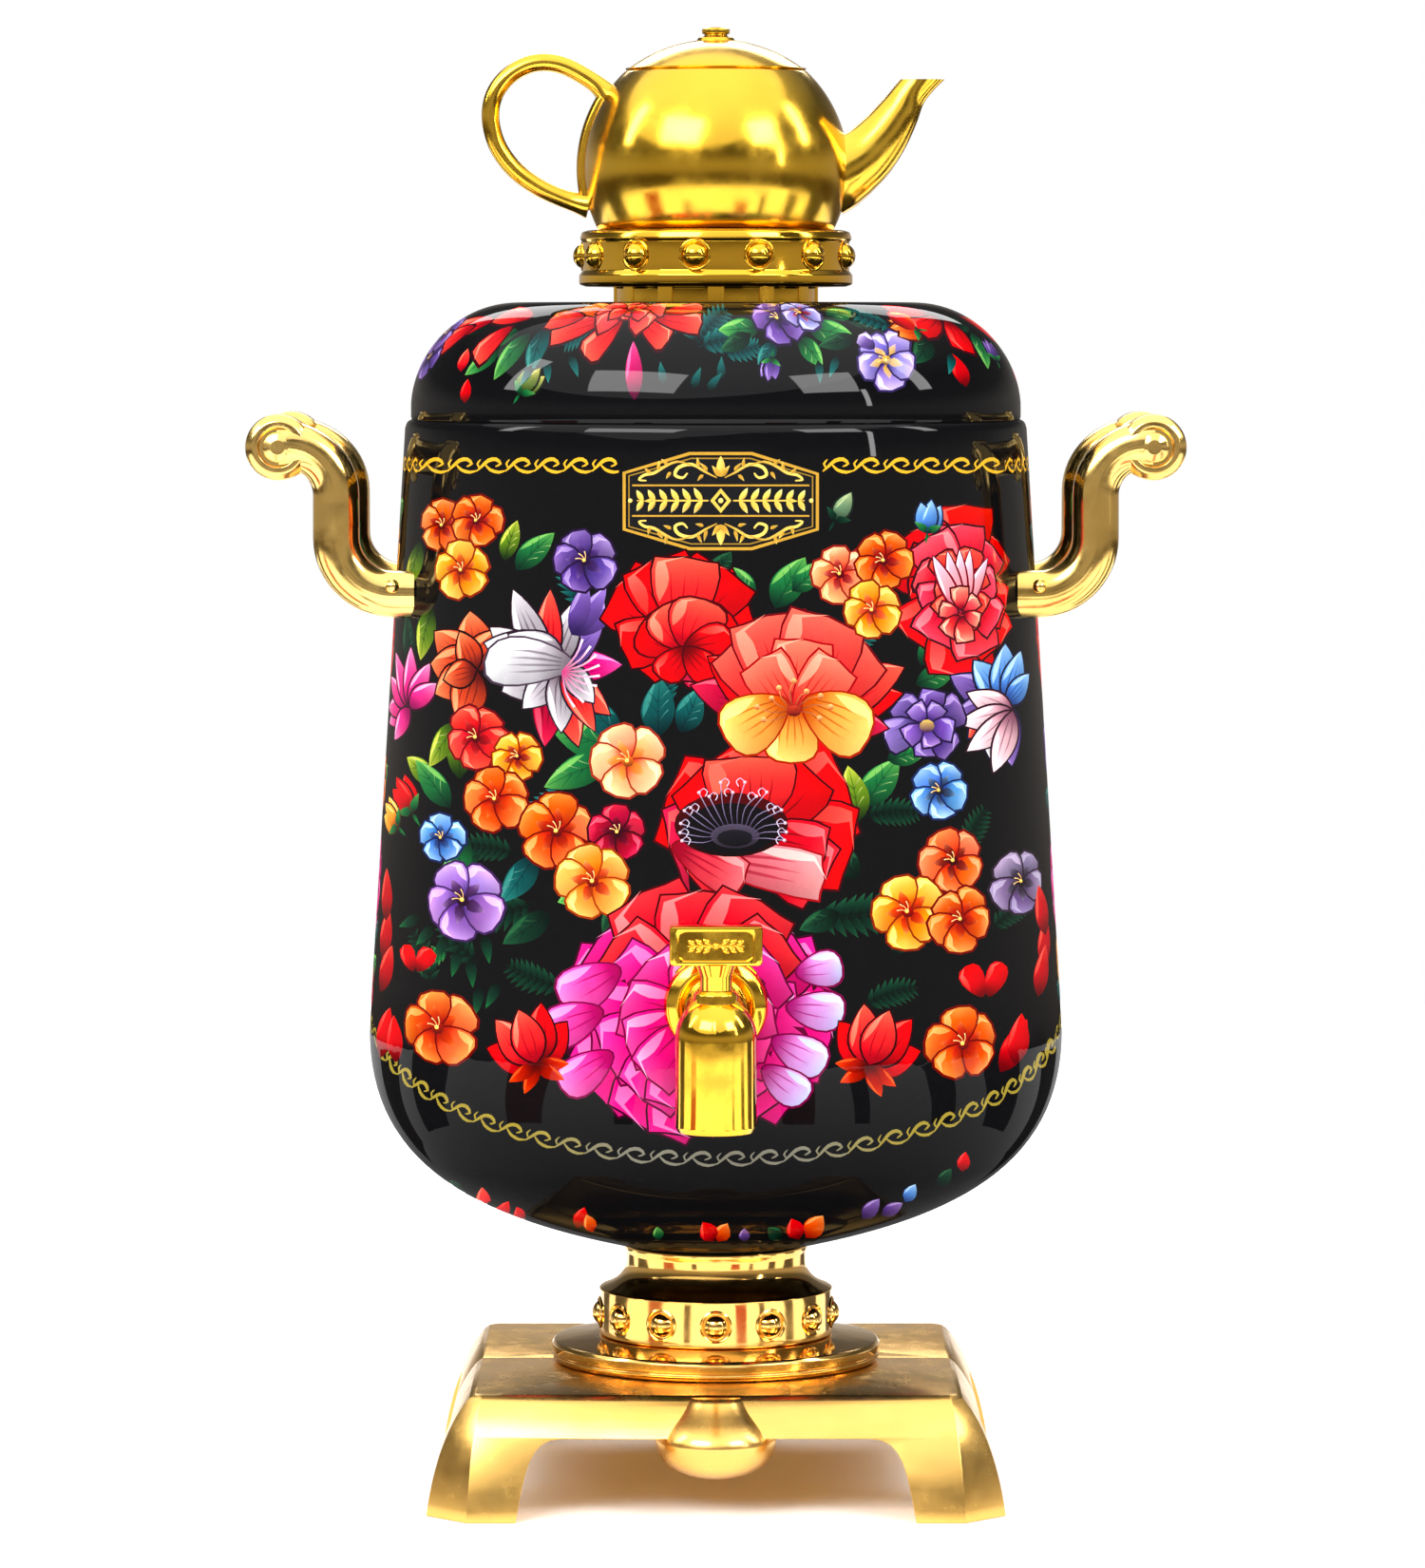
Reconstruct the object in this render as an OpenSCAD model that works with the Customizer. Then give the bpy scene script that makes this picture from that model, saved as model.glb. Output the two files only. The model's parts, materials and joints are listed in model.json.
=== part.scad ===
// Samovar-shaped tin: lacquered sheet-metal body and lid, gold plastic fittings.
// Millimetres. Origin on the vertical axis, level with the soles of the feet.
// +Z up, the tap is at the front (-Y), the teapot's spout points to +X.

/* [Tin body] */
// Outer radius of the body just under the lid
body_r_top = 52.1; // [51.6:0.1:52.6]
// Outer radius of the body at its widest line
body_r_max = 58.4; // [57.8:0.1:59.2]
// Height of the widest line, where the wall meets the bowl
body_z_max = 75.5; // [74:0.5:77]
// Height of the shoulder that the lid rests on
body_z_top = 178.4; // [178:0.1:179]
// Sheet thickness of wall and bowl
tin_t = 0.8; // [0.6:0.1:1]

/* [Lid] */
// Outer radius of the lid's skirt
lid_r = 51.1; // [51:0.1:51.3]
// Height of the lid's flat top
lid_z_top = 198; // [197.6:0.1:198.4]
// Sheet thickness of the lid
lid_t = 0.7; // [0.5:0.1:0.8]

/* [Crown and teapot] */
// Radius of the crown's band
crown_r = 22.3; // [22:0.1:22.6]
// Number of ball studs round the crown and round the pedestal
stud_n = 13; // [9:1:15]
// Radius of a ball stud
stud_r = 2.2; // [1.8:0.1:2.4]
// Outer radius of the teapot's sphere
pot_r = 22.2; // [21.8:0.1:22.4]
// Height of the teapot sphere's centre
pot_z = 220.3; // [220:0.1:221]

/* [Side handles] */
// Distance of each arm from the middle plane
arm_y = 17; // [15:0.5:19]
// Radius of an arm's round section
arm_r = 3.8; // [3.4:0.1:4.2]
// Radius of the eye at the arm's end
eye_r = 5.5; // [5:0.1:6]
// Radius of the grip bar between two eyes
grip_r = 4.2; // [3.6:0.1:4.6]

/* [Tap] */
// Height of the rosette and of the threaded stub
tap_z = 85.3; // [84:0.1:87]
// Radius of the rosette
rosette_r = 8.6; // [7.8:0.1:9]
// Distance of the spout and key axis from the body's axis
tap_y = 66.7; // [66:0.1:68]
// Outer radius of the spout
spout_r = 6.5; // [6.2:0.1:6.8]
// Width of the key's tablet
key_w = 14.8; // [13:0.1:15]

/* [Pedestal and base] */
// Radius of the studded drum
drum_r = 19.7; // [19.2:0.1:20.2]
// Radius of the stepped disc
disc_r = 27.7; // [27:0.1:28.5]
// Half width of the base plate's top face
plate_w = 39.7; // [39:0.1:40.5]
// Half width of the base across the soles
foot_w = 47.4; // [46.5:0.1:48.5]
// Height of the base plate's top face
plate_z = 19.7; // [19.5:0.1:20]

/* [Hidden] */
$fn = 96;
gold = [0.86, 0.66, 0.16];
pale_gold = [0.88, 0.72, 0.34];
black = [0.04, 0.04, 0.045];
steel = [0.62, 0.63, 0.65];

// Radius of the tapered wall's outside at a height
function wall_r(z) = body_r_top + (body_r_max - body_r_top)
    * (body_z_top - 1.4 - z) / (body_z_top - 1.4 - body_z_max);

// Cubic curve through four control points
function bez(a, b, c, d, n) = [for (i = [0:n]) let (t = i / n, u = 1 - t)
    u*u*u*a + 3*u*u*t*b + 3*u*t*t*c + t*t*t*d];
function rev(l) = [for (i = [len(l) - 1:-1:0]) l[i]];
function rad2(r, a) = [r * cos(a), r * sin(a)];

// Smooth path through hand-set points
function cr(a, b, c, d, t) = 0.5 * (2*b + (c - a)*t + (2*a - 5*b + 4*c - d)*t*t
    + (3*b - a - 3*c + d)*t*t*t);
function path(p, k) = let (n = len(p)) concat([for (i = [0:n - 2], j = [0:k - 1])
    cr(p[max(i - 1, 0)], p[i], p[i + 1], p[min(i + 2, n - 1)], j / k)], [p[n - 1]]);

// Tube in the XZ plane; every point is [x, z, radius, depth ratio]
module flat_tube(p, sides) {
    n = len(p);
    dirs = [for (i = [0:n - 1]) let (a = p[max(i - 1, 0)], b = p[min(i + 1, n - 1)],
        d = [b[0] - a[0], b[1] - a[1]]) d / norm(d)];
    pts = [for (i = [0:n - 1], j = [0:sides - 1]) let (w = 360 * (j + 0.5) / sides)
        [p[i][0] - dirs[i][1] * p[i][2] * cos(w), p[i][2] * p[i][3] * sin(w),
            p[i][1] + dirs[i][0] * p[i][2] * cos(w)]];
    faces = concat(
        [[for (j = [sides - 1:-1:0]) j]],
        [[for (j = [0:sides - 1]) (n - 1) * sides + j]],
        [for (i = [0:n - 2], j = [0:sides - 1]) let (k = (j + 1) % sides)
            [i * sides + k, (i + 1) * sides + k, (i + 1) * sides + j, i * sides + j]]);
    polyhedron(points = pts, faces = faces);
}

// ---------- tin ----------
module body_wall() {
    color(black) difference() {
        rotate_extrude() polygon([
            [body_r_max - tin_t, body_z_max], [body_r_max, body_z_max],
            [body_r_top, body_z_top - 1.4], [body_r_top - 0.25, body_z_top - 0.6],
            [body_r_top - 0.9, body_z_top], [49.9, body_z_top],
            [49.9, body_z_top - tin_t], [body_r_top - 1.5, body_z_top - tin_t],
            [body_r_top - tin_t, body_z_top - 1.8]]);
        translate([0, -body_r_max + 6, tap_z]) rotate([90, 0, 0])
            cylinder(r = 3.2, h = 12);
        for (sx = [-1, 1], sy = [-1, 1]) translate([sx * 44, sy * arm_y, 149.8])
            rotate([0, sx * 90, 0]) cylinder(r = 1.7, h = 12);
    }
}

module body_bowl() {
    outer = bez([body_r_max, body_z_max], [body_r_max, 51.6], [38, 44.6], [15.2, 39.4], 22);
    inner = bez([body_r_max - tin_t, body_z_max], [body_r_max - tin_t, 52.2],
        [37.8, 45.5], [15, 39.4 + tin_t], 22);
    color(black) rotate_extrude() polygon(concat(outer,
        [[2.2, 39.4], [2.2, 39.4 + tin_t]], rev(inner)));
}

module body_collar() {
    color(black) rotate_extrude() polygon([[49.3, 174], [49.9, 174], [49.9, 182.4],
        [49.6, 183], [49.3, 183]]);
}

module lid_shell() {
    outer = bez([33, lid_z_top], [43.5, lid_z_top], [lid_r - 0.5, lid_z_top - 8.6],
        [lid_r, lid_z_top - 16.9], 18);
    inner = bez([32.8, lid_z_top - lid_t], [43, lid_z_top - lid_t],
        [lid_r - lid_t - 0.55, lid_z_top - 9.2], [lid_r - lid_t, lid_z_top - 17], 18);
    color(black) rotate_extrude() polygon(concat([[2.2, lid_z_top - lid_t], [2.2, lid_z_top]],
        outer, [[lid_r, body_z_top + 0.5], [lid_r - 0.15, body_z_top],
        [lid_r - lid_t, body_z_top]], rev(inner)));
}

// ---------- crown and teapot ----------
module crown_ring() {
    z = lid_z_top;
    color(gold) difference() {
        union() {
            rotate_extrude() polygon([[2, z], [5, z], [5, z + 2.6], [15.4, z + 2.6],
                [15.4, z], [17.1, z], [17.1, z + 2.6],
                [crown_r - 0.2, z + 2.7], [crown_r + 0.3, z + 2.9], [crown_r + 0.6, z + 3.4],
                [crown_r + 0.6, z + 4.3], [crown_r + 0.3, z + 4.8], [crown_r, z + 5.1],
                [crown_r, z + 10.1], [crown_r + 0.2, z + 10.5], [crown_r + 0.1, z + 11.2],
                [crown_r - 0.4, z + 11.8], [crown_r - 1, z + 12], [crown_r - 1.6, z + 11.8],
                [crown_r - 1.9, z + 11.3], [crown_r - 1.9, z + 4.2], [2, z + 4.2]]);
            for (i = [0:stud_n - 1]) rotate(-99 + i * 360 / stud_n)
                translate([crown_r - 0.5, 0, z + 7.8]) sphere(r = stud_r, $fn = 48);
        }
        for (i = [0:11]) rotate(15 + i * 30) translate([16.4, -2.6, z - 0.5])
            cube([2, 5.2, 2.9]);
    }
}

module crown_screw() {
    color(steel) union() {
        translate([0, 0, lid_z_top - 3.7]) cylinder(r = 3.2, h = 2.3);
        translate([0, 0, lid_z_top - 3.7]) cylinder(r = 1.95, h = 7.2);
    }
}

module crown_washer() {
    color(steel) translate([0, 0, lid_z_top - 1.4]) difference() {
        cylinder(r = 6, h = 0.7);
        translate([0, 0, -1]) cylinder(r = 2.1, h = 3);
    }
}

module teapot_body() {
    top = pot_z + 16.3;
    color(gold) difference() {
        union() {
            intersection() {
                translate([0, 0, pot_z]) sphere(r = pot_r, $fn = 128);
                translate([0, 0, lid_z_top + 5.2]) cylinder(r = 40, h = top - lid_z_top - 5.2);
            }
            translate([0, 0, lid_z_top + 4.2]) cylinder(r = 11, h = 1.4);
        }
        intersection() {
            translate([0, 0, pot_z]) sphere(r = pot_r - 1.3, $fn = 128);
            translate([0, 0, lid_z_top + 6.6]) cylinder(r = 40, h = 60);
        }
        translate([0, 0, lid_z_top + 4.1]) cylinder(r = 9, h = 0.9);
    }
}

module teapot_cap() {
    s = pot_z + 16.3;
    R = 24.4;
    color(gold) difference() {
        union() {
            intersection() {
                translate([0, 0, s + 5.2 - R]) sphere(r = R, $fn = 128);
                translate([0, 0, s]) cylinder(r = 15.1, h = 8);
            }
            translate([0, 0, s - 1.6]) cylinder(r = 12.6, h = 2);
            rotate_extrude() polygon([[0, s + 4], [3.4, s + 4], [3.4, s + 5.35], [2.5, s + 5.5],
                [1.9, s + 5.7], [1.9, s + 6], [2.3, s + 6.1], [2.3, s + 6.9], [1.8, s + 7.15],
                [0, s + 7.25]]);
        }
        intersection() {
            translate([0, 0, s + 5.2 - R]) sphere(r = R - 1.3, $fn = 128);
            translate([0, 0, s - 0.3]) cylinder(r = 11.4, h = 8);
        }
        translate([0, 0, s - 2]) cylinder(r = 11.4, h = 2);
    }
}

module teapot_handle() {
    c = [0, pot_z];
    loop = path([[-17.6, 11.8, 1.5, 1.1], [-20.4, 14.4, 1.45, 1.1], [-25.6, 17.2, 1.4, 1.1],
        [-30.2, 17.6, 1.4, 1.1], [-34.2, 15.8, 1.4, 1.1], [-36.9, 12.6, 1.4, 1.1],
        [-37.7, 8.6, 1.4, 1.1], [-36.6, 4, 1.4, 1.1], [-33.8, 0, 1.4, 1.1],
        [-29.8, -3, 1.4, 1.1], [-25.4, -5, 1.45, 1.1], [-20.9, -6, 1.6, 1.1]], 3);
    color(gold) {
        translate([0, 0, pot_z]) flat_tube(loop, 12);
        translate([0, 0, pot_z]) rotate([90, 0, 0]) rotate(145) rotate_extrude(angle = 52)
            polygon([[pot_r - 0.6, -1.5], [pot_r + 0.7, -1.5], [pot_r + 1.1, -0.8],
                [pot_r + 1.1, 0.8], [pot_r + 0.7, 1.5], [pot_r - 0.6, 1.5]]);
    }
}

module teapot_spout() {
    s = path([[20.6, -0.6, 6.1, 0.8], [24.2, 1.5, 5.3, 0.8], [27.9, 5.4, 4.4, 0.82],
        [30.5, 8.9, 3.5, 0.85], [32.3, 12.2, 2.8, 0.9], [34.4, 16, 2.8, 0.9]], 4);
    color(gold) difference() {
        translate([0, 0, pot_z]) flat_tube(s, 16);
        translate([28, -6, pot_z + 14.9]) cube([14, 12, 8]);
    }
}

// ---------- side handles ----------
// One S-shaped arm with its eye, for the left side, centred on y = 0
module arm_shape() {
    translate([-72.2, 0, 174.1]) rotate([90, 0, 0]) rotate_extrude() union() {
        translate([0, -2.4]) square([eye_r, 4.8]);
        translate([0, -3.7]) square([eye_r - 1.3, 7.4]);
        translate([eye_r - 1.3, 2.4]) circle(r = 1.3, $fn = 32);
        translate([eye_r - 1.3, -2.4]) circle(r = 1.3, $fn = 32);
    }
    translate([-72.2, 0, 174.2]) rotate([0, 90, 0]) cylinder(r = arm_r, h = 1.4);
    translate([-70.8, 0, 166.2]) rotate([90, 0, 0]) rotate_extrude(angle = 90)
        translate([8, 0]) circle(r = arm_r, $fn = 48);
    translate([-62.8, 0, 159.2]) cylinder(r = arm_r, h = 7);
    translate([-53.4, 0, 159.2]) rotate([90, 0, 0]) rotate(180) rotate_extrude(angle = 90)
        translate([9.4, 0]) circle(r = arm_r, $fn = 48);
    translate([-53.4, 0, 149.8]) rotate([0, 90, 0]) cylinder(r = arm_r, h = 8);
}

module arm_node(sx, sy) {
    color(gold) difference() {
        translate([0, sy * arm_y, 0]) mirror([sx > 0 ? 1 : 0, 0, 0]) arm_shape();
        rotate_extrude() polygon([[0, 130], [wall_r(130) + 0.02, 130],
            [wall_r(170) + 0.02, 170], [0, 170]]);
        translate([sx * 72.2, sy * arm_y, 174.1]) rotate([90, 0, 0])
            cylinder(r = 2.55, h = 20, center = true);
        translate([sx * 45, sy * arm_y, 149.8]) rotate([0, sx * 90, 0])
            cylinder(r = 1.45, h = 12.5);
    }
}

module grip_node(sx) {
    color(gold) translate([sx * 72.2, 0, 174.1]) rotate([90, 0, 0]) rotate_extrude()
        polygon([[0, -arm_y - 4.3], [1.9, -arm_y - 4.3], [2.5, -arm_y - 3.8],
            [2.5, -arm_y + 3.85], [grip_r - 0.4, -arm_y + 3.85], [grip_r, -arm_y + 4.4],
            [grip_r - 0.3, 0], [grip_r, arm_y - 4.4], [grip_r - 0.4, arm_y - 3.85],
            [2.5, arm_y - 3.85], [2.5, arm_y + 3.8], [1.9, arm_y + 4.3], [0, arm_y + 4.3]]);
}

module handle_left_front_arm() arm_node(-1, -1);
module handle_left_rear_arm() arm_node(-1, 1);
module handle_right_front_arm() arm_node(1, -1);
module handle_right_rear_arm() arm_node(1, 1);
module handle_left_grip() grip_node(-1);
module handle_right_grip() grip_node(1);

module handle_screws() {
    color(steel) for (sx = [-1, 1], sy = [-1, 1]) translate([sx * 47, sy * arm_y, 149.8])
        rotate([0, sx * 90, 0]) union() {
            cylinder(r = 2.6, h = 1.7);
            cylinder(r = 1.4, h = 10);
        }
}

module handle_rivets() {
    color(gold) for (sx = [-1, 1], sy = [-1, 1])
        translate([sx * 53.4, sy * (arm_y + arm_r - 0.5), 151.2]) sphere(r = 1.2, $fn = 32);
}

// ---------- tap ----------
module tap_rosette() {
    color(gold) difference() {
        translate([0, -55, tap_z]) rotate([90, 0, 0]) rotate_extrude()
            polygon(concat([[3.1, 0], [rosette_r - 0.5, 0], [rosette_r, 0.5], [rosette_r, 2]],
                [for (a = [0:15:90]) [rosette_r - 2, 2] + rad2(2, a)],
                [[5.2, 4.1], [3.1, 4.1]]));
        rotate_extrude() polygon([[0, 60], [wall_r(60) + 0.03, 60],
            [wall_r(110) + 0.03, 110], [0, 110]]);
    }
}

module tap_body() {
    color(gold) difference() {
        union() {
            translate([0, -tap_y, 81.5]) sphere(r = spout_r, $fn = 64);
            translate([0, -tap_y, 67]) cylinder(r = spout_r, h = 14.5);
            translate([0, -tap_y, 66.3]) cylinder(r1 = spout_r - 0.5, r2 = spout_r, h = 0.7);
            translate([0, -59.2, 83.6]) rotate([90, 0, 0]) cylinder(r = 4.9, h = 6.1);
            translate([0, -50.5, tap_z]) rotate([90, 0, 0]) cylinder(r = 3, h = 11);
        }
        translate([0, -tap_y, 66]) cylinder(r = 4.8, h = 3.3);
        translate([0, -tap_y, 79]) cylinder(r = 2.65, h = 12);
    }
}

module tap_key() {
    color(gold) translate([0, -tap_y, 0]) difference() {
        union() {
            translate([0, 0, 79.4]) cylinder(r = 2.6, h = 13.8);
            translate([0, 0, 92.2]) cylinder(r1 = 2.6, r2 = 3.2, h = 0.9);
            translate([-key_w / 2, -2.6, 93]) cube([key_w, 5.2, 6.3]);
        }
        for (s = [-1, 1]) translate([-key_w / 2 + 1.8, s * 3 - 0.8, 94]) cube([key_w - 3.6, 1.6, 4.3]);
    }
}

module tap_nut() {
    color(steel) difference() {
        translate([0, -53, tap_z]) rotate([90, 0, 0]) cylinder(r = 5.8, h = 3.4, $fn = 6);
        translate([0, -50, tap_z]) rotate([90, 0, 0]) cylinder(r = 3.05, h = 10);
    }
}

// ---------- pedestal ----------
module pedestal() {
    color(pale_gold) difference() {
        union() {
            rotate_extrude() polygon(concat([[2.2, 39.4], [15.6, 39.4], [15.6, 38.6]],
                bez([15.35, 38.2], [15.2, 35.4], [15.6, 33.6], [19.2, 32.2], 8),
                [[drum_r, 31.8], [drum_r, 24.4], [drum_r - 0.4, 24],
                [drum_r - 1.8, 24], [drum_r - 1.8, 31], [17, 31.4], [13.9, 33.6],
                [13.6, 37.4], [2.2, 37.4]]));
            for (i = [0:stud_n - 1]) rotate(-90 + i * 360 / stud_n)
                translate([drum_r - 0.9, 0, 27.9]) sphere(r = stud_r + 0.1, $fn = 48);
        }
        translate([0, 0, 24]) cylinder(r = drum_r - 1.8, h = 6);
    }
}

module pedestal_disc() {
    color(pale_gold) difference() {
        rotate_extrude() polygon([[2.2, plate_z], [disc_r - 1.4, plate_z],
            [disc_r - 0.4, plate_z + 0.3], [disc_r, plate_z + 0.8], [disc_r, plate_z + 1.2],
            [disc_r - 0.35, plate_z + 1.35], [disc_r - 0.1, plate_z + 1.6],
            [disc_r, plate_z + 3], [disc_r - 0.4, plate_z + 3.5], [drum_r + 1, 24], [2.2, 24]]);
        for (sx = [-1, 1], sy = [-1, 1]) translate([sx * 13, sy * 13, plate_z - 1])
            cylinder(r = 1.25, h = 4);
    }
}

// Half-width of the flared base against height, as a closed outline
module flare(top, foot) {
    e = bez([top, plate_z], [top + 0.44 * (foot - top), plate_z - 3],
        [top + 0.86 * (foot - top), 9], [foot, 0], 14);
    polygon(concat([[top - 0.5, plate_z], [top - 0.15, plate_z - 0.08]],
        [for (i = [1:14]) e[i]], [for (i = [14:-1:1]) [-e[i][0], e[i][1]]],
        [[-top + 0.15, plate_z - 0.08], [-top + 0.5, plate_z]]));
}
module flare_block(top, foot, a) {
    rotate(a) rotate([90, 0, 0]) linear_extrude(height = 130, center = true) flare(top, foot);
}
// Arched cut between two legs
module arch(w0, w1, h, a) {
    rotate(a) rotate([90, 0, 0]) linear_extrude(height = 130, center = true) union() {
        polygon(concat([[-w0, -1], [w0, -1]],
            bez([w0 - 0.2, 0], [w1 + 0.9, h - 5], [w1 + 0.3, h], [w1 - 5, h], 8),
            rev([for (p = bez([w0 - 0.2, 0], [w1 + 0.9, h - 5], [w1 + 0.3, h], [w1 - 5, h], 8))
                [-p[0], p[1]]])));
    }
}

module base_whole() {
    difference() {
        intersection() {
            flare_block(plate_w, foot_w, 0);
            flare_block(plate_w, foot_w, 90);
            flare_block(55.1, 62.2, 45);
            flare_block(55.1, 62.2, -45);
        }
        difference() {
            translate([-37.6, -37.6, -1]) cube([75.2, 75.2, plate_z - 1.2]);
            for (sx = [-1, 1], sy = [-1, 1]) translate([sx * 37.5, sy * 37.5, 10])
                cube([17, 17, 30], center = true);
        }
        arch(32.8, 30.2, 13.2, 0);
        arch(32.8, 30.2, 13.2, 90);
        translate([0, 0, 10]) cylinder(r = 2.2, h = 20);
        for (sx = [-1, 1], sy = [-1, 1]) translate([sx * 13, sy * 13, 10])
            cylinder(r = 1.4, h = 20);
    }
}
// Half bell that hangs at the middle of the front and rear skirts
module lobe() {
    intersection() {
        translate([0, -38.6, 0]) rotate_extrude() polygon(concat([[0, plate_z - 0.35],
            [4.2, plate_z - 0.35]], bez([4.5, plate_z - 0.5], [6.3, 16.4], [9.8, 14.2], [9.9, 12.2], 8),
            bez([9.9, 12.1], [9.7, 8.4], [6, 6], [0, 5.9], 10)));
        translate([-15, -60, 0]) cube([30, 23.2, 30]);
    }
}
module half(s) {
    union() {
        intersection() {
            base_whole();
            translate([-80, s < 0 ? -80 : 0.06, -5]) cube([160, 79.94, 40]);
        }
        if (s < 0) lobe(); else mirror([0, 1, 0]) lobe();
    }
}
module base_front() { color(pale_gold) half(-1); }
module base_rear() { color(pale_gold) half(1); }

module base_screws() {
    color(steel) for (sx = [-1, 1], sy = [-1, 1]) translate([sx * 13, sy * 13, 0]) union() {
        translate([0, 0, 16.2]) cylinder(r = 2.3, h = plate_z - 2.2 - 16.2);
        translate([0, 0, 16.2]) cylinder(r = 1.2, h = 6);
    }
}

module clamp_bolt() {
    color(steel) union() {
        translate([0, 0, 40.9]) cylinder(r = 3.9, h = 2.6, $fn = 6);
        translate([0, 0, 13.2]) cylinder(r = 2, h = 28);
    }
}
module clamp_washer_top() {
    color(steel) translate([0, 0, 39.4 + tin_t]) difference() {
        cylinder(r = 6, h = 0.7);
        translate([0, 0, -1]) cylinder(r = 2.1, h = 3);
    }
}
module clamp_washer_under() {
    color(steel) translate([0, 0, plate_z - 3]) difference() {
        cylinder(r = 6, h = 0.8);
        translate([0, 0, -1]) cylinder(r = 2.1, h = 3);
    }
}
module clamp_nut() {
    color(steel) translate([0, 0, plate_z - 5.8]) difference() {
        cylinder(r = 4, h = 2.8, $fn = 6);
        translate([0, 0, -1]) cylinder(r = 2.05, h = 5);
    }
}

body_wall();
body_bowl();
body_collar();
lid_shell();
crown_ring();
crown_screw();
crown_washer();
teapot_body();
teapot_handle();
teapot_spout();
teapot_cap();
handle_left_front_arm();
handle_left_rear_arm();
handle_left_grip();
handle_right_front_arm();
handle_right_rear_arm();
handle_right_grip();
handle_screws();
handle_rivets();
tap_rosette();
tap_body();
tap_key();
tap_nut();
pedestal();
pedestal_disc();
base_front();
base_rear();
base_screws();
clamp_bolt();
clamp_washer_top();
clamp_washer_under();
clamp_nut();
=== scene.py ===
import json
import math
import random
import bpy
import bmesh
import numpy as np
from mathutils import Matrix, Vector, geometry

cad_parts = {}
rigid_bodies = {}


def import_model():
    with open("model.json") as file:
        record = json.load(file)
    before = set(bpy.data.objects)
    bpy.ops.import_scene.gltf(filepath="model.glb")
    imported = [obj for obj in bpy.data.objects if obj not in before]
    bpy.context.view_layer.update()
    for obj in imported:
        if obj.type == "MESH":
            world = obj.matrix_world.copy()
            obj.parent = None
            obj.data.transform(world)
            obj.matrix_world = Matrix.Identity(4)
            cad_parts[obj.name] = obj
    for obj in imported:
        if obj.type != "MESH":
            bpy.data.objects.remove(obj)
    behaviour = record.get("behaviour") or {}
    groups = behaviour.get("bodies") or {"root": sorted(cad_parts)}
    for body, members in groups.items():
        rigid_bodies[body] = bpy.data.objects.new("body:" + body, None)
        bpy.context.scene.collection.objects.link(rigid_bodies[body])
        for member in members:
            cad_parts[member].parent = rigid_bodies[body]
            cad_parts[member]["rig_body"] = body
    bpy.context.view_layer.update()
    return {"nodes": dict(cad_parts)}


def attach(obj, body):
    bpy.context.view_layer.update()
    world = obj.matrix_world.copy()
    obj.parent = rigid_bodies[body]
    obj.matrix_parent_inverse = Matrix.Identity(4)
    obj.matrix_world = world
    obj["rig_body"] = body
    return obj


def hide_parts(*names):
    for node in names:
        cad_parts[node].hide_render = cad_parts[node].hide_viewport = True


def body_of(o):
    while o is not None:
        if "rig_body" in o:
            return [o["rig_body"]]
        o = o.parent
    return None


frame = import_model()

MM = 0.001
random.seed(7)
rng = np.random.default_rng(7)

# ------------------------------------------------------------------ scene
scene = bpy.context.scene
scene.view_settings.view_transform = "Standard"
scene.view_settings.look = "None"
K = 0.16            # mm on the object for one unit of the 1500 x 1650 frame
DIST = 7000.0       # camera distance in those units
EYE = 340.0         # row of the eye level
Z_EYE = (1557 - EYE) * K
AX = 753.5          # column of the object's axis


def camera():
    cam = bpy.data.cameras.new("photo_camera")
    ob = bpy.data.objects.new("photo_camera", cam)
    scene.collection.objects.link(ob)
    z_mid = (1557 - 825) * K
    off = -(AX - 750) * K
    ob.location = Vector((off, -DIST * K, Z_EYE)) * MM
    look = Vector((off, 0, z_mid)) * MM - ob.location
    ob.rotation_euler = look.to_track_quat("-Z", "Y").to_euler()
    cam.sensor_fit = "VERTICAL"
    cam.sensor_height = 24.0
    cam.lens = 24.0 * look.length / (1650 * K * MM)
    cam.clip_start = 0.01
    cam.clip_end = 20
    scene.camera = ob


camera()


# ------------------------------------------------------------------ materials
def mat(name):
    m = bpy.data.materials.new(name)
    m.use_nodes = True
    nt = m.node_tree
    b = nt.nodes["Principled BSDF"]
    return m, nt, b


def noise(nt, scale, detail=4.0, rough=0.5, dist=0.0, coords=None, vec_scale=None):
    tc = nt.nodes.new("ShaderNodeTexCoord")
    n = nt.nodes.new("ShaderNodeTexNoise")
    n.inputs["Scale"].default_value = scale
    n.inputs["Detail"].default_value = detail
    n.inputs["Roughness"].default_value = rough
    n.inputs["Distortion"].default_value = dist
    src = tc.outputs["Object"]
    if vec_scale:
        mp = nt.nodes.new("ShaderNodeMapping")
        mp.inputs["Scale"].default_value = vec_scale
        nt.links.new(src, mp.inputs["Vector"])
        src = mp.outputs["Vector"]
    nt.links.new(src, n.inputs["Vector"])
    return n


def ramp(nt, src, stops):
    r = nt.nodes.new("ShaderNodeValToRGB")
    cr = r.color_ramp
    while len(cr.elements) < len(stops):
        cr.elements.new(0.5)
    for e, (p, c) in zip(cr.elements, stops):
        e.position = p
        e.color = (*c, 1)
    nt.links.new(src, r.inputs["Fac"])
    return r


def remap(nt, src, a, b, c, d):
    m = nt.nodes.new("ShaderNodeMapRange")
    for k, v in zip(("From Min", "From Max", "To Min", "To Max"), (a, b, c, d)):
        m.inputs[k].default_value = v
    nt.links.new(src, m.inputs["Value"])
    return m


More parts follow.
